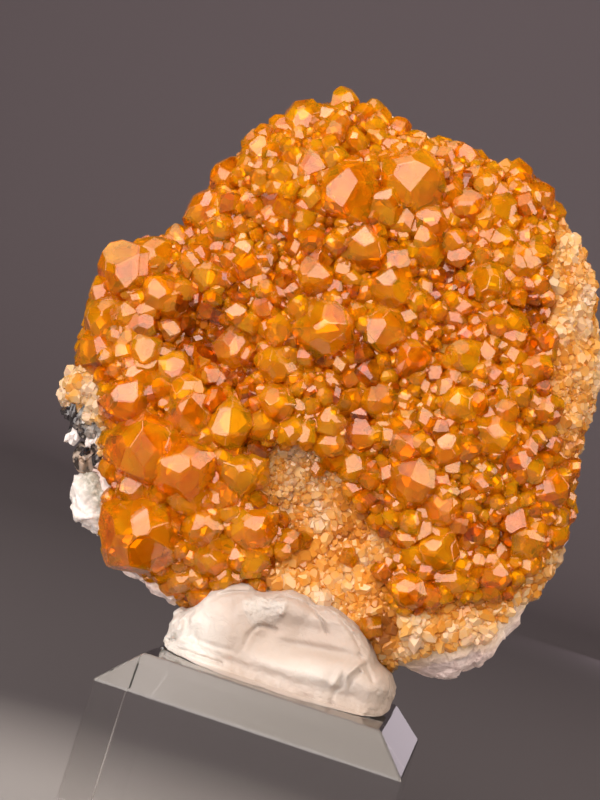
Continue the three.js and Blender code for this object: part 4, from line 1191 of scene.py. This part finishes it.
# Bits of the left rim as [u, v, how far they are spread in u and in v, number, smallest, largest].
BLACK_BITS = np.array([
    [-25.0, -1.4, 0.4, 0.4, 6, 0.45, 0.7], [-24.3, -2.4, 0.4, 0.4, 6, 0.5, 0.75],
    [-23.6, -3.4, 0.3, 0.3, 5, 0.4, 0.6], [-22.3, -2.9, 0.4, 0.2, 4, 0.4, 0.55],
    [-20.9, -2.8, 0.2, 0.7, 7, 0.4, 0.6], [-23.2, -5.7, 0.4, 0.3, 6, 0.4, 0.55],
    [-21.7, -6.3, 0.4, 0.6, 7, 0.4, 0.6],
])
WHITE_BITS = np.array([
    [-24.4, -3.9, 0.4, 0.4, 4, 0.5, 0.7], [-22.9, -4.8, 0.3, 0.2, 3, 0.45, 0.6],
    [-21.5, -4.5, 0.6, 0.2, 4, 0.45, 0.6],
])
GREY_BITS = np.array([
    [-22.4, -1.7, 0.9, 0.5, 14, 0.45, 0.75], [-23.3, -2.2, 0.4, 0.4, 6, 0.4, 0.6],
    [-21.6, -3.2, 0.7, 0.5, 10, 0.4, 0.65], [-22.9, -3.8, 0.5, 0.3, 5, 0.4, 0.55],
])


def bits(rng, shapes, entries):
    """Broken crystals in clusters on the front of the rim: chance places about each entry's middle, on a
    round back whose middle line is at u = -21.8."""
    rows = np.repeat(entries, entries[:, 4].astype(int), axis=0)
    u = rows[:, 0] + rng.normal(0, 0.6, len(rows)) * rows[:, 2]
    v = rows[:, 1] + rng.normal(0, 0.6, len(rows)) * rows[:, 3]
    w = 0.8 + 2.3 * np.sqrt(np.clip(1 - ((u + 21.8) / 3.9) ** 2, 0.04, 1))
    w = w + rng.uniform(-0.3, 0.2, len(rows))
    sizes = rng.uniform(rows[:, 5], rows[:, 6])
    which = rng.integers(0, len(shapes), len(rows))
    return gather(shapes, which, chance_turns(rng, len(rows)), sizes, sighted(u, v, w))


def joined(first, second):
    """Two sets of points and faces as one."""
    (points, faces), (more, more_faces) = first, second
    shifted = [[i + len(points) for i in face] for face in more_faces]
    return np.concatenate([points, more]), faces + shifted


def chip_shape(rng):
    """A broken long chip: what is left inside pairs of planes in chance directions."""
    ways = chance_ways(rng, 11)
    corners, sides = cut_crystal(np.concatenate([ways, -ways]), rng.uniform(0.75, 1.1, 22))
    return corners * np.array([0.6, 0.75, 1.25]), sides


def build_left_rim():
    """The white lump, and over it a broken patch: grey, with black crystals, white bits and a brown banded
    part. The lump is grainy at its upper right."""
    rng = np.random.default_rng(5)
    points, faces = lump_skin((-22.0, -10.9, 0.4), (2.8, 3.0, 3.8), -0.25, -0.15, 0.22, 0.26, 61)
    grainy = np.clip(0.45 + (points[:, 0] + 22.6) / 2.2 + (points[:, 2] + 10.9) / 4.5, 0, 1)
    piece("feldspar_knob", on_plate(points), faces, FELDSPAR, nodes=["feldspar_lump"],
          smooth=True, values={"grainy": grainy})
    shapes = [chip_shape(rng) for _ in range(12)]
    core = lump_skin((-22.5, -2.9, 0.5), (2.4, 2.5, 2.1), 0.3, -0.35, 0.45, 0.15, 83)
    points, faces = joined(core, bits(rng, shapes, GREY_BITS))
    piece("grey_broken_patch", on_plate(points), faces, GREY)
    points, faces = bits(rng, shapes, BLACK_BITS)
    piece("dark_crystals", on_plate(points), faces, DARK, nodes=["dark_mineral"])
    points, faces = bits(rng, shapes, WHITE_BITS)
    piece("dark_patch_white_bits", on_plate(points), faces, FELDSPAR)
    points, faces = lump_skin((-22.7, -6.2, 0.5), (1.7, 2.3, 1.9), 0.2, -0.1, 0.35, 0.2, 47)
    piece("brown_banded_part", on_plate(points), faces, BROWN)


# The putty

# Its sections across x, the points round each, where its ends are in x, its middle line in y, half its
# depth, its foot just above the block and the middle that it swells from.
PUTTY_ROWS = 230
PUTTY_AROUND = 250
PUTTY_LEFT = -12.5
PUTTY_RIGHT = 12.3
PUTTY_TIP = 0.05
PUTTY_Y = 0.6
PUTTY_DEPTH = 8.3
PUTTY_FOOT = BLOCK_HEIGHT + 0.01
PUTTY_MIDDLE = np.array([-0.6, PUTTY_Y, 29.0])
# How far its filled out front bends in.
PUTTY_FILL = 3.5

# The putty's top line as seen from the front, as [x, z].
PUTTY_TOP = np.array([
    [-12.4, 27.6], [-12.2, 29.2], [-11.9, 30.1], [-11.3, 29.7], [-10.7, 30.2], [-10.0, 31.5],
    [-8.9, 33.2], [-7.4, 34.3], [-5.3, 34.8], [-4.2, 34.2], [-2.6, 34.4], [-1.2, 35.1], [0.6, 34.9],
    [1.8, 34.3], [2.8, 34.7], [4.5, 34.4], [6.2, 33.7], [7.3, 33.0], [8.7, 31.6], [9.7, 30.3],
    [11.4, 29.6], [12.3, 28.4],
])

# Dents as seen in the picture: [across, down, reach along, reach over, tilt, depth in millimetres]. Where
# the depth is below 0, the place stands out.
PUTTY_MARKS = np.array([
    [300, 634, 48, 18, 0.20, 2.1], [304, 650, 46, 6, 0.16, 1.1], [262, 636, 14, 8, -0.6, 0.5],
    [305, 673, 52, 9, 0.20, -0.8], [374, 694, 18, 20, 0.4, -0.7], [348, 698, 12, 12, 0.3, 0.35],
    [225, 632, 24, 20, 0.3, -0.5], [180, 626, 11, 16, 0.2, -0.6], [230, 584, 26, 5, -0.05, -0.45],
    [344, 624, 16, 7, 0.7, -0.4], [240, 667, 40, 6, 0.28, 0.35], [292, 595, 12, 5, 0.3, -0.4],
    [318, 700, 24, 6, 0.35, 0.3],
])

# Folds as seen in the picture: their points [across, down], half width in pixels and depth in millimetres.
PUTTY_FOLDS = (
    ([[219, 594], [232, 591], [248, 591], [263, 588]], 1.8, 0.45),
    ([[281, 594], [296, 599], [308, 604], [318, 608], [328, 605]], 1.6, 0.45),
    ([[307, 605], [315, 611], [321, 622], [325, 634]], 1.5, 0.5),
    ([[333, 684], [345, 676], [356, 667], [363, 662]], 2.4, -0.6),
    ([[337, 689], [349, 682], [360, 673]], 2.2, 0.45),
    ([[171, 640], [180, 637], [188, 637]], 1.8, 0.8),
    ([[191, 611], [186, 620], [186, 630], [195, 641]], 3.0, 0.8),
    ([[243, 641], [250, 632], [257, 626], [266, 628], [273, 631]], 1.8, 0.5),
    ([[359, 655], [366, 664], [372, 680]], 2.0, 0.35),
    ([[200, 640], [214, 646], [232, 650]], 2.0, 0.25),
    ([[176, 648], [196, 655], [222, 663]], 2.0, 0.4),
    ([[335, 690], [331, 700], [334, 710]], 2.2, 0.35),
    ([[330, 612], [340, 620], [350, 632], [358, 645]], 1.8, 0.3),
)
PUTTY_TORN = np.array([
    [243, 600], [262, 596], [287, 600], [285, 612], [277, 622], [271, 632], [264, 621], [254, 629],
    [246, 614],
])
PUTTY_RAGGED = [[318, 604], [345, 616], [362, 634], [372, 655]]
# The wide dent in its middle, painted darker as shade, and the band below it, painted paler as a highlight
# where its slope faces the light, as [across, down, reach along, reach over, tilt].
PUTTY_DENT_SHADE = (302, 634, 48, 15, 0.2)
PUTTY_LIT_BAND = (305, 674, 56, 13, 0.2)


def along_line(spots, line):
    """How far each spot is from a line through some points."""
    nearest = np.full(len(spots), np.inf)
    for start, end in zip(np.array(line[:-1], float), np.array(line[1:], float)):
        run = end - start
        share = np.clip((spots - start) @ run / (run @ run), 0, 1)
        nearest = np.minimum(nearest, np.linalg.norm(spots - start - share[:, None] * run, axis=1))
    return nearest


def putty_skin():
    """Sections across x: each is a squarish ring from the block's top up to the top line, and the ends are
    rounded off. Its lower front is filled out: a gap g behind the front becomes g^2 / (g + 3.5)."""
    step = (np.arange(PUTTY_ROWS) + 0.5) / PUTTY_ROWS
    along = -np.cos(step * math.pi)
    x = (PUTTY_RIGHT + PUTTY_LEFT) / 2 + along * (PUTTY_RIGHT - PUTTY_LEFT) / 2
    swell = (1 - np.abs(along) ** 3.2) ** (1 / 2.6)
    top = np.interp(x, PUTTY_TOP[:, 0], PUTTY_TOP[:, 1])
    smooth = np.exp(-np.linspace(-2, 2, 9) ** 2)
    top = np.convolve(np.pad(top, 4, mode="edge"), smooth / smooth.sum(), mode="valid")
    middle_z = PUTTY_FOOT + (top - PUTTY_FOOT) * 0.46
    angle = np.linspace(0, 2 * math.pi, PUTTY_AROUND, endpoint=False)
    power = np.where(np.sin(angle) > 0, 2.5, 7.0)
    side_y = np.sign(np.cos(angle)) * np.abs(np.cos(angle)) ** (2 / power)
    side_z = np.sign(np.sin(angle)) * np.abs(np.sin(angle)) ** (2 / power)
    front = (PUTTY_Y - PUTTY_DEPTH * swell)[:, None]
    y = PUTTY_Y - side_y * (PUTTY_DEPTH * swell)[:, None]
    gap = y - front
    y = np.where((side_z < 0) & (side_y > 0), front + gap ** 2 / (gap + PUTTY_FILL), y)
    upper = (top - middle_z)[:, None] * swell[:, None] ** 0.35
    lower = (middle_z - PUTTY_FOOT)[:, None] * swell[:, None] ** 0.25
    z = middle_z[:, None] + np.where(side_z > 0, side_z * upper, side_z * lower)
    points = np.stack(np.broadcast_arrays(x[:, None], y, z), axis=-1).reshape(-1, 3)
    left = [[PUTTY_LEFT - PUTTY_TIP, PUTTY_Y, middle_z[0]]]
    right = [[PUTTY_RIGHT + PUTTY_TIP, PUTTY_Y, middle_z[-1]]]
    return np.concatenate([left, points, right])


def dented(seen, across, down, reach, over, tilt):
    """How much each point is in a dent: exp(-distance^2.4) along it and over it."""
    along = (seen[:, 0] - across) * math.cos(tilt) + (seen[:, 1] - down) * math.sin(tilt)
    off = (seen[:, 1] - down) * math.cos(tilt) - (seen[:, 0] - across) * math.sin(tilt)
    return np.exp(-np.abs(along / reach) ** 2.4 - np.abs(off / over) ** 2.4)


def build_putty():
    """The putty's skin, its front pushed in or out along y: each dent by depth times exp(-distance^2.4),
    each fold by depth times exp(-(distance / width)^2), and torn places by rags. A thin film of it runs out
    over the block, and near its foot all heights are drawn down to the block."""
    points = putty_skin()
    above = points[:, 2] - PUTTY_FOOT
    seen = in_picture(points)
    facing = np.clip((PUTTY_Y - points[:, 1]) / 5, 0, 1)
    push = np.zeros(len(points))
    for mark in PUTTY_MARKS:
        push += mark[5] * dented(seen, *mark[:5])
    for line, width, depth in PUTTY_FOLDS:
        push += depth * np.exp(-(along_line(seen, line) / width) ** 2)
    torn = soft_inside(PUTTY_TORN, seen[:, 0], seen[:, 1], 2.0)
    crumbly = np.clip((205 - seen[:, 0]) / 25, 0, 1)
    ragged = np.clip(1 - along_line(seen, PUTTY_RAGGED) / 12, 0, 1)
    foot = np.clip((26.4 - points[:, 2]) / 1.2, 0, 1)
    rough = np.clip(torn + 0.6 * crumbly + 0.6 * ragged + 0.5 * foot, 0, 1)
    calm = 1 - np.exp(-np.abs((seen[:, 0] - 302) / 50) ** 4 - np.abs((seen[:, 1] - 645) / 24) ** 4)
    lumps = fractal(points, 4.5, 3, 91) * 0.14 + crumbly * fractal(points, 1.8, 3, 35) * 0.35
    lumps += fractal(points, 1.3, 4, 63) * (0.03 + 0.10 * calm)
    streaks = fractal(points * np.array([0.8, 1.0, 2.6]), 1.4, 4, 97)
    rags = np.maximum(fractal(points, 0.9, 3, 19), -0.1) * 0.6 * rough
    points[:, 1] += (push - rags) * facing
    outward = points - PUTTY_MIDDLE
    outward /= np.linalg.norm(outward, axis=1)[:, None]
    points += outward * (lumps + 0.05 * streaks)[:, None]
    points[:, 1] -= 0.9 * np.clip(1 - above / 1.8, 0, 1) ** 2 * facing
    film = np.clip(1 - above / 0.35, 0, 1) * (facing > 0.5)
    reach = 3.2 + 1.1 * fractal(points * np.array([1, 0, 0]) + 3, 3.0, 4, 73)
    points[:, 1] -= film ** 1.5 * np.clip(reach, 1.2, 3.5)
    height = np.maximum(points[:, 2] - PUTTY_FOOT, 0)
    points[:, 2] = PUTTY_FOOT + height * np.clip(above / 0.4 - 0.1, 0, 1)
    # Painted shade in the wide dent, and a painted highlight on the band below it where it faces the light.
    dent_shade = dented(seen, *PUTTY_DENT_SHADE)
    pale = np.clip((232 - seen[:, 0]) / 40, 0, 1) + 0.6 * torn * (1 - dent_shade)
    pale = np.clip(pale + 0.45 * dented(seen, *PUTTY_LIT_BAND), 0, 0.8)
    faces = [face[::-1] for face in sheet_faces(PUTTY_ROWS, PUTTY_AROUND)]
    piece("putty_lump", points, faces, PUTTY, nodes=["mounting_putty"], smooth=True,
          values={"torn": rough, "film": film, "pale": pale, "dent_shade": 0.8 * dent_shade})


# The block

# How wide the rounding of its edges is, in millimetres.
EDGE_ROUNDING = 0.22


def build_block():
    """Square rings from the foot to the top face, joined side by side, with every edge slightly rounded."""
    half = BLOCK_SIDE / 2
    rings = np.array([[half, 0], [half, BLOCK_HEIGHT - BLOCK_BEVEL], [half - BLOCK_BEVEL, BLOCK_HEIGHT]])
    corners = np.array([[1, 1], [-1, 1], [-1, -1], [1, -1]])
    points = np.concatenate([np.column_stack([corners * side, np.full(4, z)]) for side, z in rings])
    k = np.arange(4)
    after = (k + 1) % 4
    sides = [np.stack([low + k, low + after, low + 4 + after, low + 4 + k], axis=1) for low in (0, 4)]
    faces = [[3, 2, 1, 0], [8, 9, 10, 11]] + np.concatenate(sides).tolist()
    made = piece("clear_block", points, faces, ACRYLIC, nodes=["acrylic_block"])
    edge = made.modifiers.new("rounded_edges", "BEVEL")
    edge.width = EDGE_ROUNDING * MM
    edge.segments = 3
    edge.limit_method = "NONE"


# Camera, light and floor

# The height of the camera's sensor in millimetres.
SENSOR_HEIGHT = 36

# Soft lights as (name, way from the plate as right, up and towards the camera, distance and size in
# millimetres, power, colour).
LIGHTS = (
    ("key_light", (-0.28, 0.38, 0.88), 520, 620, 5.9, (1.0, 0.93, 0.89)),
    ("top_light", (-0.15, 0.95, 0.30), 520, 500, 1.6, (1.0, 0.90, 0.80)),
    ("left_light", (-0.95, 0.15, 0.10), 480, 300, 0.7, (1.0, 0.90, 0.78)),
    ("right_light", (0.90, 0.25, 0.20), 480, 340, 1.6, (1.0, 0.86, 0.72)),
    ("low_light", (0.55, -0.70, 0.45), 460, 260, 1.6, (1.0, 0.74, 0.54)),
    ("bevel_light", (0.26, -0.13, -0.957), 600, 60, 0.008, (1.0, 0.86, 0.94)),
)

# The floor in metres: half its width, where it starts, its flat run, the radius of its bend, and how fast
# it then climbs. Its flat part and its bend take these shares of its whole path, and it is a grid of so
# many points across and along.
FLOOR_SIDE = 2.5
FLOOR_START = -1.2
FLOOR_RUN = 2.0
FLOOR_BEND = 0.5
FLOOR_CLIMB = 8
FLAT_SHARE = 0.55
BEND_SHARE = 0.2
FLOOR_ACROSS = 40
FLOOR_ALONG = 60


def set_pose(made, place, target, roll=0.0):
    """Puts a camera or light at its place, looking at a target and leaned by roll."""
    right, top, forward = look_from(place, target, roll)
    matrix = np.eye(4)
    matrix[:3] = np.stack([right, top, -forward, np.array(place) * MM], axis=1)
    made.matrix_world = Matrix(matrix)


def build_camera():
    """The camera, with the lens that gives its picture so many pixels to a slope of one."""
    data = bpy.data.cameras.new("camera")
    data.lens = SENSOR_HEIGHT * PIXELS_A_SLOPE / (2 * PICTURE_MIDDLE[1])
    data.sensor_fit = "VERTICAL"
    data.sensor_height = SENSOR_HEIGHT
    data.clip_start = 0.01
    camera = bpy.data.objects.new("camera", data)
    bpy.context.scene.collection.objects.link(camera)
    set_pose(camera, EYE, PLATE_CENTRE, PLATE_LEAN)
    bpy.context.scene.camera = camera


def softbox(name, way, distance, size, power, colour):
    """A square soft light that looks at the plate. Its way is given as right, up and towards the camera."""
    right, up, near = way
    out = right * RIGHT + up * TOP - near * AHEAD
    place = PLATE_CENTRE + out / np.linalg.norm(out) * distance
    data = bpy.data.lights.new(name, "AREA")
    data.shape = "SQUARE"
    data.size = size * MM
    data.energy = power
    data.color = colour
    made = bpy.data.objects.new(name, data)
    bpy.context.scene.collection.objects.link(made)
    set_pose(made, place, PLATE_CENTRE)


def floor_material():
    """Studio paper, pale under the object, dark round it and painted paler again far off, to make up for
    the light falling off with distance.
    """
    material, tree, place = new_material("studio_paper")
    reach = node(tree, "ShaderNodeVectorMath", {0: place}, output="Value", operation="LENGTH")
    # Paler with distance: painted light that makes up for the lamps' falloff.
    finish_surface(tree, {
        "Base Color": ramp(tree, spread_to(tree, reach, 0.0, 1.6, 0, 1), [
            (0.0, (0.48, 0.46, 0.45)), (0.025, (0.38, 0.36, 0.36)), (0.06, (0.086, 0.075, 0.083)),
            (0.30, (0.172, 0.146, 0.161)), (0.6, (0.435, 0.368, 0.405)), (1.0, (0.545, 0.463, 0.51)),
        ]),
        "Roughness": 0.9,
    })
    return material


def build_floor():
    """A floor that is flat under the object, bends up in a quarter circle behind it and then goes straight
    up."""
    mesh = bpy.data.meshes.new("floor")
    across = np.linspace(-FLOOR_SIDE, FLOOR_SIDE, FLOOR_ACROSS)
    path = np.linspace(0, 1, FLOOR_ALONG)
    flat = path < FLAT_SHARE
    bend = np.clip((path - FLAT_SHARE) / BEND_SHARE, 0, 1) * math.pi / 2
    bent_run = FLOOR_START + FLOOR_RUN + FLOOR_BEND * np.sin(bend)
    climb = np.clip(path - FLAT_SHARE - BEND_SHARE, 0, 1) * FLOOR_CLIMB
    run = np.where(flat, FLOOR_START + path / FLAT_SHARE * FLOOR_RUN, bent_run)
    rise = np.where(flat, 0, FLOOR_BEND * (1 - np.cos(bend)) + climb)
    grid = np.stack(np.broadcast_arrays(across[None, :], run[:, None], rise[:, None]), axis=-1)
    i, j = np.meshgrid(np.arange(FLOOR_ALONG - 1), np.arange(FLOOR_ACROSS - 1), indexing="ij")
    first = i * FLOOR_ACROSS + j
    after = first + FLOOR_ACROSS
    quads = np.stack([first, first + 1, after + 1, after], axis=-1).reshape(-1, 4)
    mesh.from_pydata(grid.reshape(-1, 3).tolist(), [], quads.tolist())
    mesh.shade_smooth()
    mesh.materials.append(floor_material())
    floor = bpy.data.objects.new("floor", mesh)
    bpy.context.scene.collection.objects.link(floor)


def build_world():
    """A faint even light from all round."""
    world = bpy.data.worlds.new("studio")
    world.use_nodes = True
    background = world.node_tree.nodes["Background"]
    background.inputs["Color"].default_value = (0.80, 0.78, 0.80, 1)
    background.inputs["Strength"].default_value = 0.02
    bpy.context.scene.world = world
    bpy.context.scene.view_settings.view_transform = "Standard"


build_rock()
build_garnets()
build_druse()
build_left_rim()
build_putty()
build_block()
build_camera()
for light in LIGHTS:
    softbox(*light)
build_floor()
build_world()
